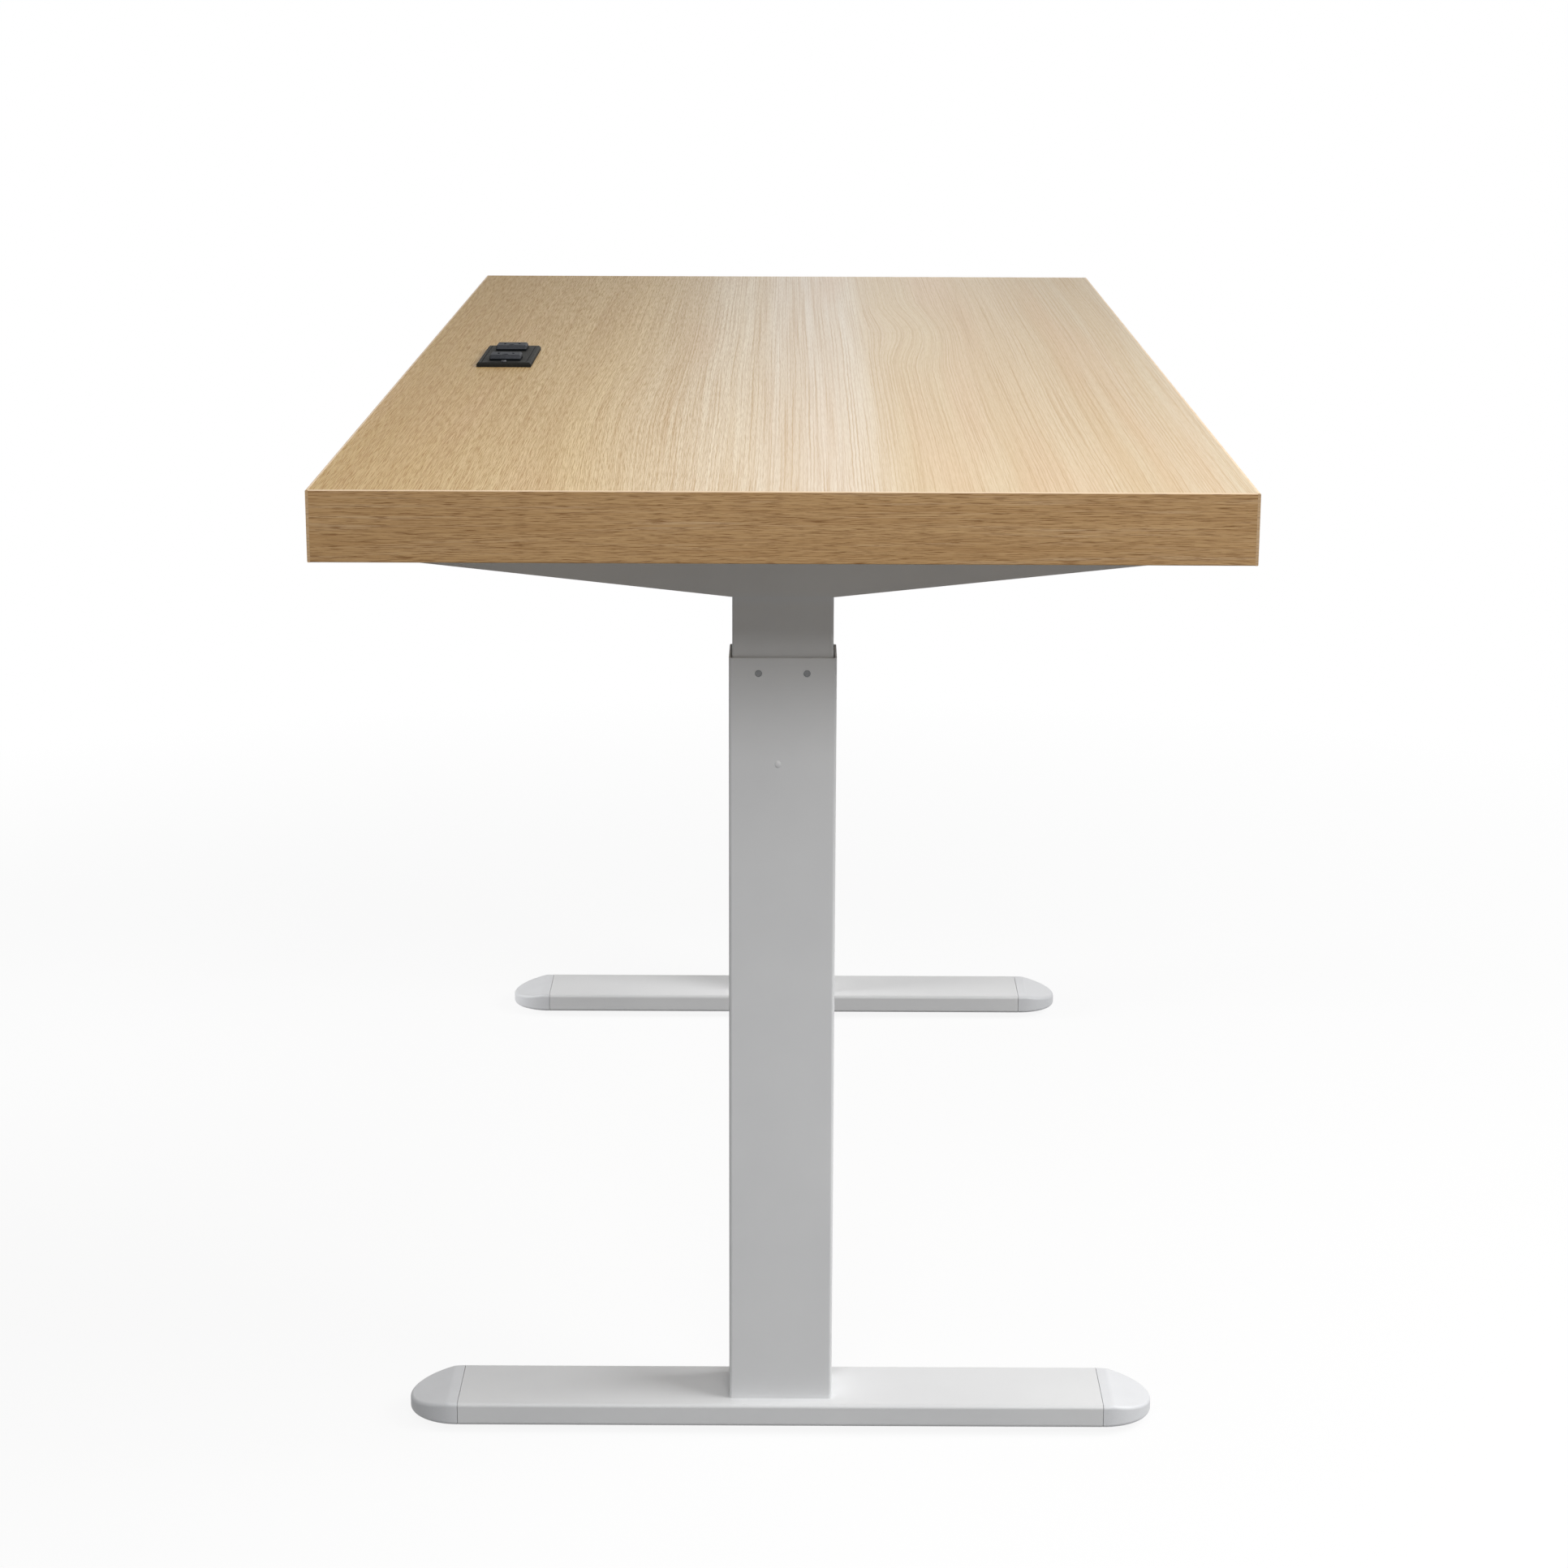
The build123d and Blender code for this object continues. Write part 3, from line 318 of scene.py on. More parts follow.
def plainMaterial(name, look):
    surface = {"Metallic": look.get("metallic", 0.0), "Specular IOR Level": look.get("specular", 0.5)}
    material, tree, shader = startMaterial(name, surface)
    place = objectCoords(tree)
    grain = noise(tree, place, look["grain"], plainGrain["detail"])
    drift = noise(tree, place, look["grain"] / plainGrain["driftStretch"], plainGrain["driftDetail"])
    share = plainGrain["driftShare"]
    fine = maths(tree, "MULTIPLY", grain, 1.0 - share)
    tone = maths(tree, "ADD", fine, maths(tree, "MULTIPLY", drift, share))
    colour = mixColour(tree, remap(tree, tone, *noiseBand, 0.0, 1.0), look["dark"], look["light"])
    if "skirtShade" in look:
        # painted shade: the blocks are darkened below a set height, standing in for the shadow on their lower
        # sides under the sloped faces
        height = addNode(tree, "SeparateXYZ", {0: place}).outputs["Z"]
        raised = maths(tree, "GREATER_THAN", height, look["skirtShadeTop"])
        colour = mixColour(tree, raised, look["skirtShade"], colour)
    tree.links.new(colour, shader.inputs["Base Color"])
    tree.links.new(remap(tree, grain, *noiseBand, *look["rough"]), shader.inputs["Roughness"])
    depth = look.get("depth", plainGrain["depth"])
    tree.links.new(bump(tree, grain, plainGrain["bump"], depth), shader.inputs["Normal"])
    return material


def dressNodes():
    endBand = oakEdgeMaterial("oakEndBand", "Y", False)
    longBand = oakEdgeMaterial("oakLongBand", "X", True)
    finishes = {name: plainMaterial(name, look) for name, look in plainLooks.items()}
    finishes["oak_laminate"] = oakTopMaterial()
    finishes["white_powder_coat"] = powderCoatMaterial()
    for name, node in nodes.items():
        finish = finishes.get(slotOf[name])
        if slotOf[name] == "oak_edge":
            finish = endBand if name.startswith(legs) else longBand
        for slot in node.material_slots:
            slot.material = finish
    print("finishes:", len(finishes) + 2)
    return finishes


finishes = dressNodes()


# Reading places from the frame: separate solids of a node, and where its turned steps lie
def islands(nodeName):
    work = bmesh.new()
    work.from_mesh(nodes[nodeName].data)
    bmesh.ops.remove_doubles(work, verts=work.verts, dist=weld["node"])
    found, done = [], set()
    for first in work.verts:
        if first in done:
            continue
        group, fresh = set(), {first}
        while fresh:
            vert = fresh.pop()
            group.add(vert)
            fresh |= {edge.other_vert(vert) for edge in vert.link_edges} - group
        done |= group
        found.append([vert.co.copy() for vert in group])
    work.free()
    return found


def middle(nodeName):
    low, high = (Vector(corner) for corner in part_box(nodeName))
    return (low + high) / 2.0


def stations(nodeName, axis):
    centre = middle(nodeName)
    rows = {}
    for vert in nodes[nodeName].data.vertices:
        away = vert.co - centre
        away[axis] = 0.0
        place = round(vert.co[axis], 5)
        rows[place] = max(rows.get(place, 0.0), away.length)
    return sorted(rows.items())


# Geometry Nodes: a tree grows a piece from named inputs, and its result is kept as a plain mesh
def geo(tree, kind, inputs=None, **settings):
    return addNode(tree, "GeometryNode" + kind, inputs, **settings).outputs[0]


def startTree(name, sizes):
    tree = bpy.data.node_groups.new(name, "GeometryNodeTree")
    tree.interface.new_socket("Geometry", in_out="INPUT", socket_type="NodeSocketGeometry")
    for label, value in sizes.items():
        kind = "NodeSocketInt" if isinstance(value, int) else "NodeSocketFloat"
        tree.interface.new_socket(label, in_out="INPUT", socket_type=kind).default_value = value
    tree.interface.new_socket("Finish", in_out="INPUT", socket_type="NodeSocketMaterial")
    tree.interface.new_socket("Geometry", in_out="OUTPUT", socket_type="NodeSocketGeometry")
    return tree, tree.nodes.new("NodeGroupInput").outputs


def union(tree, shapes):
    node = tree.nodes.new("GeometryNodeJoinGeometry")
    for shape in shapes:
        tree.links.new(shape, node.inputs[0])
    return node.outputs[0]


def disc(tree, sides, radius):
    return geo(tree, "MeshCircle", {"Vertices": sides, "Radius": radius}, fill_type="NGON")


# A cylinder, moved or turned when a place is given
def drum(tree, sides, radius, depth, **place):
    shape = geo(tree, "MeshCylinder", {"Vertices": sides, "Radius": radius, "Depth": depth})
    return geo(tree, "Transform", {"Geometry": shape, **place}) if place else shape


def endTree(tree, inputs, shapes):
    whole = geo(tree, "RealizeInstances", {0: union(tree, shapes)})
    painted = geo(tree, "SetMaterial", {"Geometry": whole, "Material": inputs["Finish"]})
    tree.links.new(painted, tree.nodes.new("NodeGroupOutput").inputs[0])
    return tree


def pointMesh(name, rows, **columns):
    mesh = bpy.data.meshes.new(name)
    mesh.from_pydata(rows, [], [])
    for label, column in columns.items():
        flat = isinstance(column[0], float)
        layer = mesh.attributes.new(label, "FLOAT" if flat else "FLOAT_VECTOR", "POINT")
        values = column if flat else [part for row in column for part in row]
        layer.data.foreach_set("value" if flat else "vector", values)
    return mesh


def pointValue(tree, name, kind="FLOAT"):
    return geo(tree, "InputNamedAttribute", {"Name": name}, data_type=kind)


def onPoints(tree, inputs, shape, scale=(1.0, 1.0, 1.0)):
    angles = pointValue(tree, "turn", "FLOAT_VECTOR")
    turn = addNode(tree, "FunctionNodeEulerToRotation", {0: angles}).outputs[0]
    values = {"Points": inputs["Geometry"], "Instance": shape, "Rotation": turn, "Scale": scale}
    return geo(tree, "InstanceOnPoints", values)


def settle(piece, body, slotName, *replaced):
    piece.data.shade_smooth()
    piece.data.set_sharp_from_angle(angle=math.radians(edgeAngle))
    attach(piece, body)
    if replaced:
        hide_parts(*replaced)
    return piece


def growPiece(name, tree, source, sizes, body, slotName, *replaced):
    piece = bpy.data.objects.new(name, source)
    bpy.context.scene.collection.objects.link(piece)
    grower = piece.modifiers.new("grow", "NODES")
    grower.node_group = tree
    values = {**sizes, "Finish": finishes[slotName]}
    for item in tree.interface.items_tree:
        if item.in_out == "INPUT" and item.name in values:
            grower[item.identifier] = values[item.name]
    grown = piece.evaluated_get(bpy.context.evaluated_depsgraph_get())
    mesh = bpy.data.meshes.new_from_object(grown)
    if mesh.materials[0] is None:
        mesh.materials.pop(index=0)    # the empty slot that plain shapes start with
    piece.modifiers.remove(grower)
    piece.data = mesh
    return settle(piece, body, slotName, *replaced)


def meshPiece(name, verts, faces, body, slotName, *replaced):
    mesh = bpy.data.meshes.new(name)
    mesh.from_pydata([tuple(vert) for vert in verts], [], faces)
    mesh.materials.append(finishes[slotName])
    piece = bpy.data.objects.new(name, mesh)
    bpy.context.scene.collection.objects.link(piece)
    work = bmesh.new()
    work.from_mesh(mesh)
    bmesh.ops.remove_doubles(work, verts=work.verts, dist=weld["piece"])
    bmesh.ops.recalc_face_normals(work, faces=work.faces)
    work.to_mesh(mesh)
    work.free()
    return settle(piece, body, slotName, *replaced)


# One step of a head or pad: its top face is pulled up and drawn in
def pulled(tree, mesh, top, distance, scale):
    values = {"Mesh": mesh, "Offset Scale": distance, "Individual": False}
    up = addNode(tree, "GeometryNodeExtrudeMesh", values, mode="FACES")
    if top is not None:
        tree.links.new(top, up.inputs["Selection"])
    drawn = {"Geometry": up.outputs["Mesh"], "Selection": up.outputs["Top"], "Scale": scale}
    return geo(tree, "ScaleElements", drawn, domain="FACE"), up.outputs["Top"]


# Vertices chosen by a selection move in and out in even lobes round the axis
def lobed(tree, mesh, chosen, lobes, cut):
    place = addNode(tree, "SeparateXYZ", {0: geo(tree, "InputPosition")}).outputs
    angle = maths(tree, "ARCTAN2", place["Y"], place["X"])
    wave = maths(tree, "COSINE", maths(tree, "MULTIPLY", angle, lobes))
    swell = maths(tree, "ADD", maths(tree, "MULTIPLY", wave, cut), 1.0)
    x = maths(tree, "MULTIPLY", place["X"], swell)
    y = maths(tree, "MULTIPLY", place["Y"], swell)
    moved = joined(tree, x, y, place["Z"])
    return geo(tree, "SetPosition", {"Geometry": mesh, "Selection": chosen, "Position": moved})


# Screws: a pan head with a lobed recess on a plain shank, in units of the shank's diameter
screw = {"Head Radius": 0.95, "Head Flat": 0.55, "Head Sides": 24, "Shank Sides": 16,
         "Recess Radius": 0.42, "Recess Depth": 0.34, "Recess Taper": 0.85,
         "Recess Lobes": 6, "Lobe Cut": 0.16}
headSteps = ((0.60, 1.0), (0.28, 0.92), (0.12, 0.84))    # share of the head's height, and how it draws in
crossRecess = {"Recess Lobes": 4, "Lobe Cut": 0.42, "Recess Radius": 0.34}
headWidth = 0.9    # an end with this share of the full width is the head


def screwTree():
    tree, inputs = startTree("panHeadScrew", screw)
    radius, flat = inputs["Head Radius"], inputs["Head Flat"]
    head, top = disc(tree, inputs["Head Sides"], radius), None
    under = geo(tree, "FlipFaces", {0: head})
    crown = 1.0
    for share, draw in headSteps:
        head, top = pulled(tree, head, top, maths(tree, "MULTIPLY", flat, share), draw)
        crown *= draw
    rim = maths(tree, "DIVIDE", inputs["Recess Radius"], maths(tree, "MULTIPLY", radius, crown))
    head, top = pulled(tree, head, top, 0.0, rim)
    head = lobed(tree, head, top, inputs["Recess Lobes"], inputs["Lobe Cut"])
    down = maths(tree, "MULTIPLY", inputs["Recess Depth"], -1.0)
    head, top = pulled(tree, head, top, down, inputs["Recess Taper"])
    head = geo(tree, "MergeByDistance", {"Geometry": union(tree, (under, head)), "Distance": hair})
    rod = drum(tree, inputs["Shank Sides"], 0.5, 1.0, Translation=(0.0, 0.0, -0.5))
    shank, reach = pointValue(tree, "shank"), pointValue(tree, "reach")
    longways = joined(tree, shank, shank, reach)
    return endTree(tree, inputs, (onPoints(tree, inputs, head, shank), onPoints(tree, inputs, rod, longways)))


# Each solid of a screw node gives its seat, the way it points, its shank and its reach
def screwPlaces(nodeName):
    seats, turns, shanks, reaches = [], [], [], []
    for points in islands(nodeName):
        low = Vector([min(point[i] for point in points) for i in range(3)])
        high = Vector([max(point[i] for point in points) for i in range(3)])
        size = high - low
        axis = max(range(3), key=lambda i: size[i])
        across = (axis + 1) % 3
        atLow = [point for point in points if point[axis] - low[axis] < hair]
        wideAtLow = max(point[across] for point in atLow) - min(point[across] for point in atLow)
        headAtLow = wideAtLow > headWidth * size[across]
        shank = size[across] / (2.0 * screw["Head Radius"])
        outward = Vector([0.0, 0.0, 0.0])
        outward[axis] = -1.0 if headAtLow else 1.0
        end = (low + high) / 2.0
        end[axis] = low[axis] if headAtLow else high[axis]
        seats.append(end - outward * shank * screw["Head Flat"])
        turns.append(outward.to_track_quat("Z", "Y").to_euler())
        shanks.append(shank)
        reaches.append(size[axis] - shank * screw["Head Flat"])
    return pointMesh(nodeName, seats, turn=turns, shank=shanks, reach=reaches)


def buildScrews():
    tree = screwTree()
    crossHead = {**screw, **crossRecess}
    rows = (("frameScrews", "frame_screws", screw, "upper_frame", "zinc_steel"),
            ("plateScrews", "power_screws", crossHead, "upper_frame", "black_steel"),
            ("leftFootBolts", "left_foot_bolts", screw, "left_leg", "zinc_steel"),
            ("rightFootBolts", "right_foot_bolts", screw, "right_leg", "zinc_steel"))
    for name, node, sizes, body, slotName in rows:
        growPiece(name, tree, screwPlaces(node), sizes, body, slotName, node)
    print("screws set")


# Threaded rods: two ridges wind up a core, and a plain journal goes on from its end
rodSizes = {"Radius": 0.007, "Length": 0.5, "Lead": 0.010, "Depth": 0.0012,
            "Journal Radius": 0.007, "Journal Length": 0.03,
            "Sides": 28, "Steps Per Turn": 20, "Ridge Sides": 4, "Ridge Share": 0.75}
spindleThread = {"Lead": 0.010, "Depth": 0.0014}
wormThread = {"Lead": 0.00937, "Depth": 0.0016}
studThread = {"Lead": 0.0025, "Depth": 0.0004}


def rodTree():
    tree, inputs = startTree("threadedRod", rodSizes)
    radius, length, depth = inputs["Radius"], inputs["Length"], inputs["Depth"]
    middleUp = joined(tree, z=maths(tree, "MULTIPLY", length, 0.5))
    core = drum(tree, inputs["Sides"], maths(tree, "SUBTRACT", radius, depth), length, Translation=middleUp)
    ridgeRadius = maths(tree, "MULTIPLY", depth, inputs["Ridge Share"])
    path = maths(tree, "SUBTRACT", radius, ridgeRadius)
    turns = maths(tree, "DIVIDE", length, inputs["Lead"])
    winding = geo(tree, "CurveSpiral", {"Resolution": inputs["Steps Per Turn"], "Rotations": turns,
                                        "Start Radius": path, "End Radius": path, "Height": length})
    section = {"Resolution": inputs["Ridge Sides"], "Radius": ridgeRadius}
    section = geo(tree, "CurvePrimitiveCircle", section)
    ridge = geo(tree, "CurveToMesh", {"Curve": winding, "Profile Curve": section, "Fill Caps": True})
    second = geo(tree, "Transform", {"Geometry": ridge, "Rotation": (0.0, 0.0, math.pi)})
    journal = inputs["Journal Length"]
    neckUp = joined(tree, z=maths(tree, "ADD", length, maths(tree, "MULTIPLY", journal, 0.5)))
    neck = drum(tree, inputs["Sides"], inputs["Journal Radius"], journal, Translation=neckUp)
    shapes = (core, ridge, second, neck)
    return endTree(tree, inputs, [onPoints(tree, inputs, shape) for shape in shapes])


# Levelling foot: a pad with a grip round its rim, under a threaded stud
padSizes = {"Pad Radius": 0.015, "Pad Height": 0.007, "Grips": 20, "Grip Cut": 0.022, "Points Per Grip": 6,
            "Sole Edge": 0.0015, "Top Edge": 0.6, "Top Draw": 0.93}
stud = {"above": 0.003, "neckShare": 0.85, "neckLength": 0.0004}    # steps above this height are the stud's


def padTree():
    tree, inputs = startTree("levellingPad", padSizes)
    radius, edge = inputs["Pad Radius"], inputs["Sole Edge"]
    sole = maths(tree, "SUBTRACT", radius, edge)
    pad = disc(tree, maths(tree, "MULTIPLY", inputs["Grips"], inputs["Points Per Grip"]), sole)
    under = geo(tree, "FlipFaces", {0: pad})
    pad, top = pulled(tree, pad, None, edge, maths(tree, "DIVIDE", radius, sole))
    topEdge = maths(tree, "MULTIPLY", edge, inputs["Top Edge"])
    straight = maths(tree, "SUBTRACT", inputs["Pad Height"], maths(tree, "ADD", edge, topEdge))
    pad, top = pulled(tree, pad, top, straight, 1.0)
    pad, top = pulled(tree, pad, top, topEdge, inputs["Top Draw"])
    height = addNode(tree, "SeparateXYZ", {0: geo(tree, "InputPosition")}).outputs["Z"]
    aloft = maths(tree, "GREATER_THAN", height, hair)
    cut = maths(tree, "MULTIPLY", inputs["Grip Cut"], 0.5)
    pad = lobed(tree, pad, aloft, inputs["Grips"], cut)
    return endTree(tree, inputs, [onPoints(tree, inputs, shape) for shape in (under, pad)])


def buildThreads():
    rod, pad = rodTree(), padTree()
    upright = [(0.0, 0.0, 0.0)]
    for inward, leg in zip((1.0, -1.0), legs):
        node = f"{leg}_spindle"
        low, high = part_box(node)
        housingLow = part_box(f"{leg}_gear_housing")[0][2]
        sizes = {**rodSizes, **spindleThread, "Length": housingLow - low[2],
                 "Journal Length": high[2] - housingLow}
        foot = pointMesh(node, [(middle(node).x, middle(node).y, low[2])], turn=upright)
        growPiece(f"{leg}Spindle", rod, foot, sizes, node, "zinc_steel", node)
        node = f"{leg}_worm_shaft"
        steps = stations(node, 0)[::int(inward)]
        span = [abs(after[0] - before[0]) for before, after in zip(steps, steps[1:])]
        sizes = {**rodSizes, **wormThread, "Radius": steps[0][1], "Length": span[0],
                 "Journal Radius": steps[-1][1], "Journal Length": span[-1]}
        start = (steps[0][0], middle(node).y, middle(node).z)
        start = pointMesh(node, [start], turn=[(0.0, inward * math.pi / 2.0, 0.0)])
        growPiece(f"{leg}Worm", rod, start, sizes, f"{leg}_worm", "zinc_steel", node)
        for end in ends:
            node = f"{leg}_{end}_leveller"
            low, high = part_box(node)
            steps = [row for row in stations(node, 2) if row[0] > stud["above"]]
            shoulder = steps[0][0]
            sizes = {**padSizes, "Pad Radius": (high[0] - low[0]) / 2.0, "Pad Height": shoulder - low[2]}
            name, x, y = f"{leg}{end.title()}", middle(node).x, middle(node).y
            sole = pointMesh(node, [(x, y, low[2])], turn=upright)
            growPiece(f"{name}Pad", pad, sole, sizes, node, "black_plastic", node)
            sizes = {**rodSizes, **studThread, "Radius": steps[-1][1], "Length": high[2] - shoulder,
                     "Journal Radius": steps[-1][1] * stud["neckShare"], "Journal Length": stud["neckLength"]}
            neck = pointMesh(node, [(x, y, shoulder)], turn=upright)
            growPiece(f"{name}Stud", rod, neck, sizes, node, "zinc_steel")
    print("threads and levelling feet set")


# Worm wheels: teeth round a plain hub, 24 of them for the 12 to 1 step of a two-start worm
wheelLook = {"teeth": 24, "depth": 0.0017}


def wheelMesh(node):
    centre = middle(node)
    low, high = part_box(node)
    reach = [(Vector(vert.co[:2]) - centre.xy).length for vert in nodes[node].data.vertices]
    tip, bore = max(reach), min(reach)
    count, root = 4 * wheelLook["teeth"], tip - wheelLook["depth"]
    outline = []
    for radius in ([tip, tip, root, root] * wheelLook["teeth"], [bore] * count):
        for step, away in enumerate(radius):
            angle = math.tau * step / count
            outline.append((centre.x + away * math.cos(angle), centre.y + away * math.sin(angle)))
    verts = [(*place, height) for height in (low[2], high[2]) for place in outline]
    faces = []
    for step in range(count):
        following = (step + 1) % count
        for start, across in ((0, 2 * count), (count, 2 * count), (0, count), (2 * count, count)):
            a, b = start + step, start + following
            faces.append((a, b, b + across, a + across))
    return verts, faces


# A turned shape: rows of distance along the axis and radius, spun round it
def turnedMesh(rows, start, axis, count=48):
    turn = Vector(axis).to_track_quat("Z", "Y")
    verts, faces = [], []
    for distance, radius in rows:
        for step in range(count):
            angle = math.tau * step / count
            spot = Vector((radius * math.cos(angle), radius * math.sin(angle), distance))
            verts.append(Vector(start) + turn @ spot)
    for row in range(len(rows) - 1):
        for step in range(count):
            a, b = row * count + step, row * count + (step + 1) % count
            faces.append((a, b, b + count, a + count))
    return verts, faces


# Motor: rolled edges and two crimps on the can, a stepped bell with ribs and bolts, a ribbed grommet
motorLook = {"edge": 0.0016, "crimps": (0.10, 0.86), "crimpDepth": 0.0009, "crimpWidth": 0.0030,
             "bow": 0.3, "bellEdge": 0.0022, "grommetRibs": 3, "grommetCut": 0.0008, "ribHalf": 0.35,
             "boreReach": 0.004, "boltRing": 0.0125, "boltShank": 0.0035}
bellRibs = {"Count": 20, "Ring Radius": 0.0180, "Rib Radius": 0.0011, "Rib Length": 0.0085, "Rib Sides": 8}


def motorRows(steps, bore, boreDepth):
    start = steps[0][0]
    nose, can, bell, back, tip = (abs(place - start) for place, radius in steps)
    noseRadius, canRadius, bellRadius, tipRadius = (steps[i][1] for i in (0, 1, 3, 4))
    edge, soft, bow = motorLook["edge"], motorLook["bellEdge"], motorLook["bow"]
    wide, deep = motorLook["crimpWidth"], motorLook["crimpDepth"]
    rows = [(boreDepth, 0.0), (boreDepth, bore), (nose, bore), (nose, noseRadius), (can, noseRadius),
            (can, canRadius - edge), (can + edge * bow, canRadius - edge * bow), (can + edge, canRadius)]
    for share in motorLook["crimps"]:
        at = can + share * (bell - can)
        rows += [(at, canRadius), (at + wide * bow, canRadius - deep),
                 (at + wide * (1.0 - bow), canRadius - deep), (at + wide, canRadius)]
    rows += [(bell - edge, canRadius), (bell - edge * bow, canRadius - edge * bow), (bell, canRadius - edge),
             (bell, bellRadius), (back - soft, bellRadius), (back - soft * bow, bellRadius - soft * bow),
             (back, bellRadius - soft)]
    ribs, half = 2 * motorLook["grommetRibs"], motorLook["ribHalf"]
    for rib in range(ribs + 1):
        radius = tipRadius - (motorLook["grommetCut"] if rib % 2 else 0.0)
        rows += [(back + (tip - back) * max(rib - half, 0.0) / ribs, radius),
                 (back + (tip - back) * min(rib + half, ribs) / ribs, radius)]
    return rows + [(tip, 0.0)]


def ribRingTree():
    tree, inputs = startTree("ribRing", bellRibs)
    ring = geo(tree, "MeshCircle", {"Vertices": inputs["Count"], "Radius": inputs["Ring Radius"]})
    rib = drum(tree, inputs["Rib Sides"], inputs["Rib Radius"], inputs["Rib Length"])
    ribs = geo(tree, "InstanceOnPoints", {"Points": ring, "Instance": rib})
    return endTree(tree, inputs, [onPoints(tree, inputs, ribs)])


def buildDrives():
    ribs, screws = ribRingTree(), bpy.data.node_groups["panHeadScrew"]
    for inward, leg in zip((1.0, -1.0), legs):
        wheel = f"{leg}_worm_wheel"
        meshPiece(f"{leg}WormWheel", *wheelMesh(wheel), f"{leg}_spindle", "wheel_nylon", wheel)
        node = f"{leg}_motor"
        places = stations(node, 0)[::int(inward)]
        steps = [row for row in places if row[1] > motorLook["boreReach"]]
        boreEnd = [row for row in places if row not in steps][0]
        centre, axis = middle(node), (inward, 0.0, 0.0)
        start = (steps[0][0], centre.y, centre.z)
        rows = motorRows(steps, boreEnd[1], abs(boreEnd[0] - steps[0][0]))
        meshPiece(f"{leg}Motor", *turnedMesh(rows, start, axis), "upper_frame", "motor_paint", node)
        outward = Vector(axis).to_track_quat("Z", "Y").to_euler()
        bellMiddle = ((steps[2][0] + steps[3][0]) / 2.0, centre.y, centre.z)
        growPiece(f"{leg}BellRibs", ribs, pointMesh(node, [bellMiddle], turn=[outward]), bellRibs,
                  "upper_frame", "motor_paint")
        ring, shank = motorLook["boltRing"], motorLook["boltShank"]
        corners = [(steps[3][0], centre.y + ring * math.cos(angle), centre.z + ring * math.sin(angle))
                   for angle in (math.pi * (0.25 + 0.5 * quarter) for quarter in range(4))]
        bolts = pointMesh(node, corners, turn=[outward] * 4, shank=[shank] * 4, reach=[2.0 * shank] * 4)
        growPiece(f"{leg}MotorBolts", screws, bolts, screw, "upper_frame", "zinc_steel")
    print("wheels and motors set")


# Control box: rows of half-round louvres underneath, and contact pins in its sockets
louvres = {"Columns": 18, "Rows": 2, "Column Pitch": 0.0085, "Row Pitch": 0.044,
           "Rib Radius": 0.0013, "Rib Length": 0.034, "Rib Sides": 12}
pins = {"Pin Radius": 0.0011, "Pin Length": 0.0085, "Tip Length": 0.0009, "Tip Share": 0.5, "Pin Sides": 10}
pinSink = 0.0006    # a pin starts this far inside its socket's end wall
pinLayout = {"mains_inlet": ((-0.006, -0.002), (0.0, 0.003), (0.006, -0.002)),
             "lead_socket": ((-0.003, -0.0018), (-0.001, -0.0018), (0.001, -0.0018), (0.003, -0.0018),
                             (-0.003, 0.0018), (-0.001, 0.0018), (0.001, 0.0018), (0.003, 0.0018))}


def louvreTree():
    tree, inputs = startTree("louvreField", louvres)
    sizes = [maths(tree, "MULTIPLY", maths(tree, "SUBTRACT", inputs[count], 1.0), inputs[pitch])
             for count, pitch in (("Columns", "Column Pitch"), ("Rows", "Row Pitch"))]
    grid = geo(tree, "MeshGrid", {"Size X": sizes[0], "Size Y": sizes[1],
                                  "Vertices X": inputs["Columns"], "Vertices Y": inputs["Rows"]})
    lying = (math.pi / 2.0, 0.0, 0.0)
    rib = drum(tree, inputs["Rib Sides"], inputs["Rib Radius"], inputs["Rib Length"], Rotation=lying)
    ribs = geo(tree, "InstanceOnPoints", {"Points": grid, "Instance": rib})
    return endTree(tree, inputs, [onPoints(tree, inputs, ribs)])


def pinTree():
    tree, inputs = startTree("contactPin", pins)
    pin = disc(tree, inputs["Pin Sides"], inputs["Pin Radius"])
    under = geo(tree, "FlipFaces", {0: pin})
    pin, top = pulled(tree, pin, None, inputs["Pin Length"], 1.0)
    pin, top = pulled(tree, pin, top, inputs["Tip Length"], inputs["Tip Share"])
    return endTree(tree, inputs, [onPoints(tree, inputs, shape) for shape in (under, pin)])


def buildControlBox():
    centre = middle("control_box")
    spot = (centre.x, centre.y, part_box("control_box")[0][2])
    field = pointMesh("louvres", [spot], turn=[(0.0, 0.0, 0.0)])
    growPiece("controlLouvres", louvreTree(), field, louvres, "upper_frame", "control_plastic")
    spots = []
    for opening in frame["record"]["physics"]["openings"]:
        layout = pinLayout.get(opening["name"].rstrip("_123"))
        if layout:
            low, high = (Vector(corner) for corner in opening["box_m"])
            heart = (low + high) / 2.0
            spots += [(heart.x + x, low.y - pinSink, heart.z + z) for x, z in layout]
    rearward = Vector((0.0, 1.0, 0.0)).to_track_quat("Z", "Y").to_euler()
    growPiece("contactPins", pinTree(), pointMesh("contactPins", spots, turn=[rearward] * len(spots)), pins,
              "upper_frame", "brass")
    print("control box set")


# Handset signs: printed arrows and numbers on the keys, and three digits in the window
signs = {"rise": 0.00015, "arrow": (0.0042, 0.0032), "digit": (0.0026, 0.0050), "bar": 0.00075,
         "barGap": 0.06, "windowDigit": (0.0034, 0.0062), "windowBar": 0.0008, "windowStep": 0.0062,
         "height": "771"}
segmentsOf = {"1": "i", "2": "abged", "3": "abgcd", "7": "ah"}


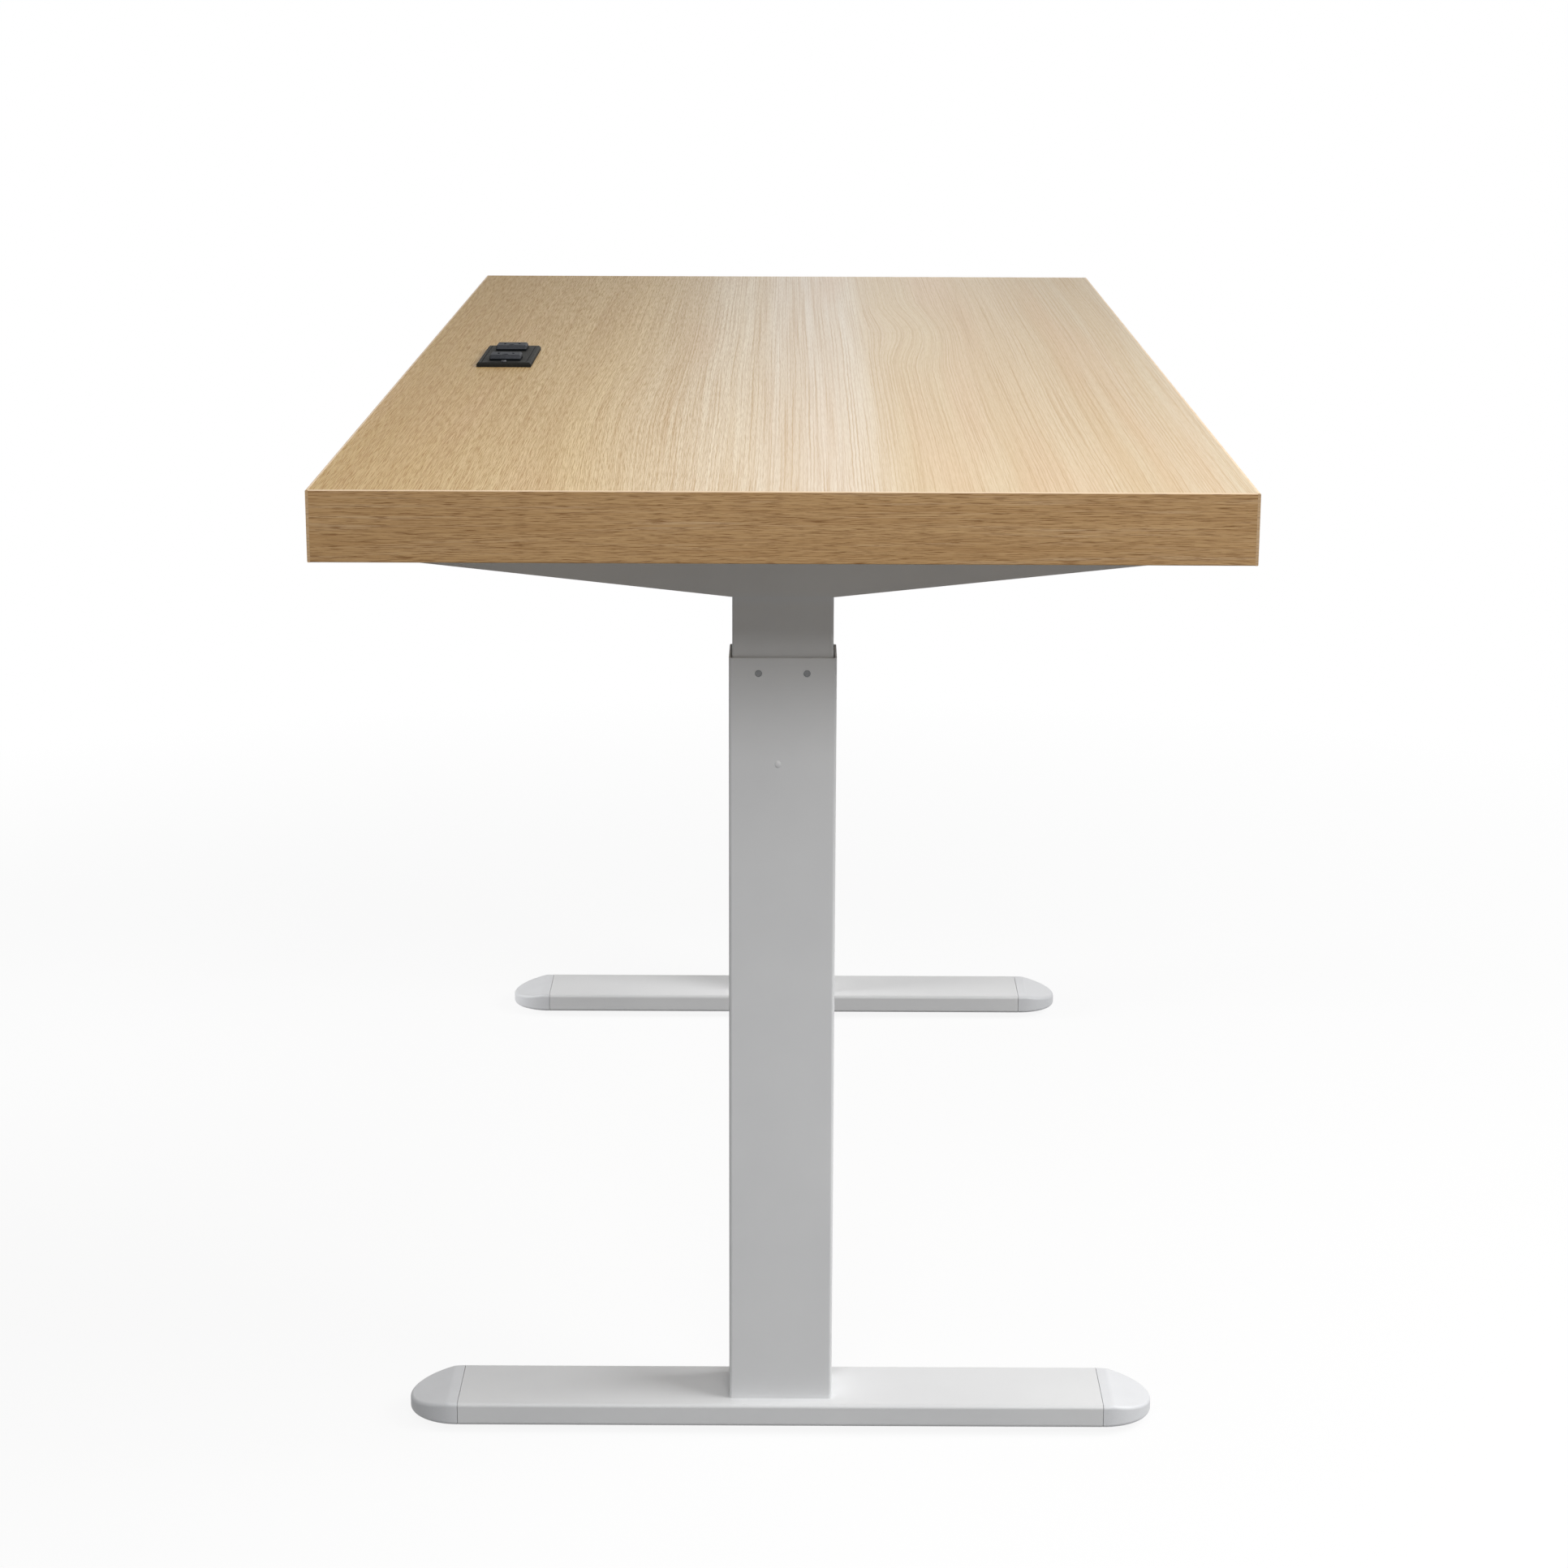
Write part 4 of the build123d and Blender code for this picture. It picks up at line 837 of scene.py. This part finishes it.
def digitBars(digit, size, bar):
    wide, tall = size[0] / 2.0, size[1] / 2.0
    inner, outer = (0.5 + signs["barGap"]) * bar, tall - (1.0 + signs["barGap"]) * bar
    places = {"a": (-wide, tall - bar, wide, tall), "g": (-wide, -bar / 2.0, wide, bar / 2.0),
              "d": (-wide, -tall, wide, bar - tall), "b": (wide - bar, inner, wide, outer),
              "c": (wide - bar, -outer, wide, -inner), "e": (-wide, -outer, bar - wide, -inner),
              "h": (wide - bar, -tall, wide, outer), "i": (-bar / 2.0, -tall, bar / 2.0, tall)}
    chosen = [places[segment] for segment in segmentsOf[digit]]
    return [[(x0, z0), (x1, z0), (x1, z1), (x0, z1)] for x0, z0, x1, z1 in chosen]


def raisedSign(name, outlines, node, body):
    centre, front = middle(node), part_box(node)[0][1]
    verts, faces = [], []
    for outline in outlines:
        count, first = len(outline), len(verts)
        for depth in (front + signs["rise"], front - signs["rise"]):
            verts += [(centre.x + x, depth, centre.z + z) for x, z in outline]
        faces += [tuple(range(first, first + count)), tuple(range(first + count, first + 2 * count))]
        for step in range(count):
            a, b = first + step, first + (step + 1) % count
            faces.append((a, b, b + count, a + count))
    meshPiece(name, verts, faces, body, "white_plastic")


def buildHandset():
    wide, tall = signs["arrow"]
    for way, node in ((1.0, "up_button"), (-1.0, "down_button")):
        arrow = [(-wide, -way * tall / 2.0), (wide, -way * tall / 2.0), (0.0, way * tall / 2.0)]
        raisedSign(f"{node}_sign", [arrow], node, node)
    for number in "123":
        node = f"memory_button_{number}"
        raisedSign(f"{node}_sign", digitBars(number, signs["digit"], signs["bar"]), node, node)
    shown = []
    for place, digit in enumerate(signs["height"]):
        shift = (place - 1) * signs["windowStep"]
        bars = digitBars(digit, signs["windowDigit"], signs["windowBar"])
        shown += [[(x + shift, z) for x, z in bar] for bar in bars]
    raisedSign("window_digits", shown, "handset_window", "upper_frame")
    print("handset set")


# A nib of paint on the near face of the left column
nib = {"at": (0.0035, 0.538), "reach": (0.0024, 0.0030), "rise": 0.0011, "root": 0.0004, "sides": 20,
       "crown": ((0.0, 1.0), (0.5, 0.8), (0.85, 0.5), (1.0, 0.0))}


def buildNib():
    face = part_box("left_outer_tube")[0][0]
    rows = [(-nib["root"], 1.0)] + [(share * nib["rise"], width) for share, width in nib["crown"]]
    verts, faces = turnedMesh(rows, (0.0, 0.0, 0.0), (-1.0, 0.0, 0.0), nib["sides"])
    across, along = nib["reach"]
    verts = [(face + x, nib["at"][0] + y * across, nib["at"][1] + z * along) for x, y, z in verts]
    base = [tuple(range(nib["sides"]))]
    meshPiece("paintNib", verts, faces + base, "left_leg", "white_powder_coat")
    print("paint nib set")


buildScrews()
buildThreads()
buildDrives()
buildControlBox()
buildHandset()
buildNib()


# Studio: a pale floor that shows white to the camera and keeps a soft shadow, and soft lamps
studio = {"floorReach": 9.0, "floorBounce": rgb(0.30, 0.30, 0.30), "floorSeen": rgb(0.95, 0.95, 0.95),
          "shadowShare": 0.10, "fadeFrom": 0.9, "fadeTo": 2.0, "ambient": 0.13}


def seenDirectly(tree):
    path = addNode(tree, "LightPath").outputs
    seen = maths(tree, "MAXIMUM", path["Is Camera Ray"], path["Is Glossy Ray"])
    return maths(tree, "MAXIMUM", seen, path["Is Transmission Ray"])


def buildFloor():
    reach = studio["floorReach"]
    mesh = bpy.data.meshes.new("floor")
    corners = [(-reach, -reach, 0.0), (reach, -reach, 0.0), (reach, reach, 0.0), (-reach, reach, 0.0)]
    mesh.from_pydata(corners, [], [(0, 1, 2, 3)])
    floor = bpy.data.objects.new("floor", mesh)
    bpy.context.scene.collection.objects.link(floor)
    material = bpy.data.materials.new("paleFloor")
    material.use_nodes = True
    tree = material.node_tree
    tree.nodes.remove(tree.nodes["Principled BSDF"])
    seen = seenDirectly(tree)
    distance = addNode(tree, "VectorMath", {0: objectCoords(tree)}, operation="LENGTH").outputs["Value"]
    share = remap(tree, distance, studio["fadeFrom"], studio["fadeTo"], 1.0 - studio["shadowShare"], 1.0)
    paint = mixColour(tree, seen, studio["floorBounce"], studio["floorSeen"])
    matte = addNode(tree, "BsdfDiffuse", {"Color": paint}).outputs[0]
    glow = addNode(tree, "Emission", {"Color": rgb(1.0, 1.0, 1.0), "Strength": 1.0}).outputs[0]
    share = maths(tree, "MULTIPLY", seen, share)
    blend = addNode(tree, "MixShader", {0: share, 1: matte, 2: glow}).outputs[0]
    tree.links.new(blend, tree.nodes["Material Output"].inputs["Surface"])
    mesh.materials.append(material)


def buildWorld():
    world = bpy.data.worlds.new("studioWorld")
    world.use_nodes = True
    tree = world.node_tree
    background = tree.nodes["Background"]
    background.inputs["Color"].default_value = rgb(1.0, 1.0, 1.0)
    strength = remap(tree, seenDirectly(tree), 0.0, 1.0, studio["ambient"], 1.0)
    tree.links.new(strength, background.inputs["Strength"])
    bpy.context.scene.world = world


lamps = (
    {"name": "frontLamp", "at": (-3.2, 0.0, 2.6), "aim": (-0.4, 0.0, 0.5), "size": (1.6, 1.2), "power": 41.0},
    {"name": "sideLamp", "at": (-0.9, -2.2, 2.2), "aim": (-0.4, 0.0, 0.3), "size": (2.0, 1.6), "power": 70.0},
    {"name": "fillLamp", "at": (0.2, 1.7, 0.7), "aim": (0.5, 0.0, 0.0), "size": (0.6, 0.5), "power": 2.0,
     "spread": 60.0},
    {"name": "topLamp", "at": (-1.0, -0.2, 1.9), "aim": (-0.6, -0.1, 0.8), "size": (0.5, 0.5), "power": 4.4},
    {"name": "farPanel", "at": (6.0, -0.2, 2.1), "aim": (0.0, -0.1, 0.77), "size": (0.7, 2.0), "power": 11.0},
    {"name": "farWing", "at": (5.8, -1.6, 2.1), "aim": (0.0, -0.2, 0.77), "size": (1.6, 2.0), "power": 14.5},
)


def buildLamps():
    for lamp in lamps:
        data = bpy.data.lights.new(lamp["name"], "AREA")
        data.shape = "RECTANGLE"
        data.size, data.size_y = lamp["size"]
        data.energy = lamp["power"]
        data.spread = math.radians(lamp.get("spread", 180.0))
        light = bpy.data.objects.new(lamp["name"], data)
        light.location = lamp["at"]
        aim = Vector(lamp["aim"]) - Vector(lamp["at"])
        light.rotation_euler = aim.to_track_quat("-Z", "Y").to_euler()
        light.visible_camera = False
        bpy.context.scene.collection.objects.link(light)


# The camera stands at the desk's left end and looks along it, a little down
view = {"place": (-2.9466, -0.0055, 1.1499), "turn": 0.103, "tilt": 14.572, "roll": 0.199,
        "lens": 76.689, "sensor": 36.0, "clipEnd": 200.0}


def buildCamera():
    data = bpy.data.cameras.new("camera")
    data.sensor_width = view["sensor"]
    data.lens = view["lens"]
    data.clip_end = view["clipEnd"]
    camera = bpy.data.objects.new("camera", data)
    turn = Matrix.Rotation(math.radians(view["turn"] - 90.0), 4, "Z")
    tilt = Matrix.Rotation(math.radians(90.0 - view["tilt"]), 4, "X")
    roll = Matrix.Rotation(math.radians(view["roll"]), 4, "Z")
    camera.matrix_world = Matrix.Translation(view["place"]) @ turn @ tilt @ roll
    bpy.context.scene.collection.objects.link(camera)
    bpy.context.scene.camera = camera


buildFloor()
buildWorld()
buildLamps()
buildCamera()
bpy.context.scene.view_settings.view_transform = "Standard"
print("studio ready")
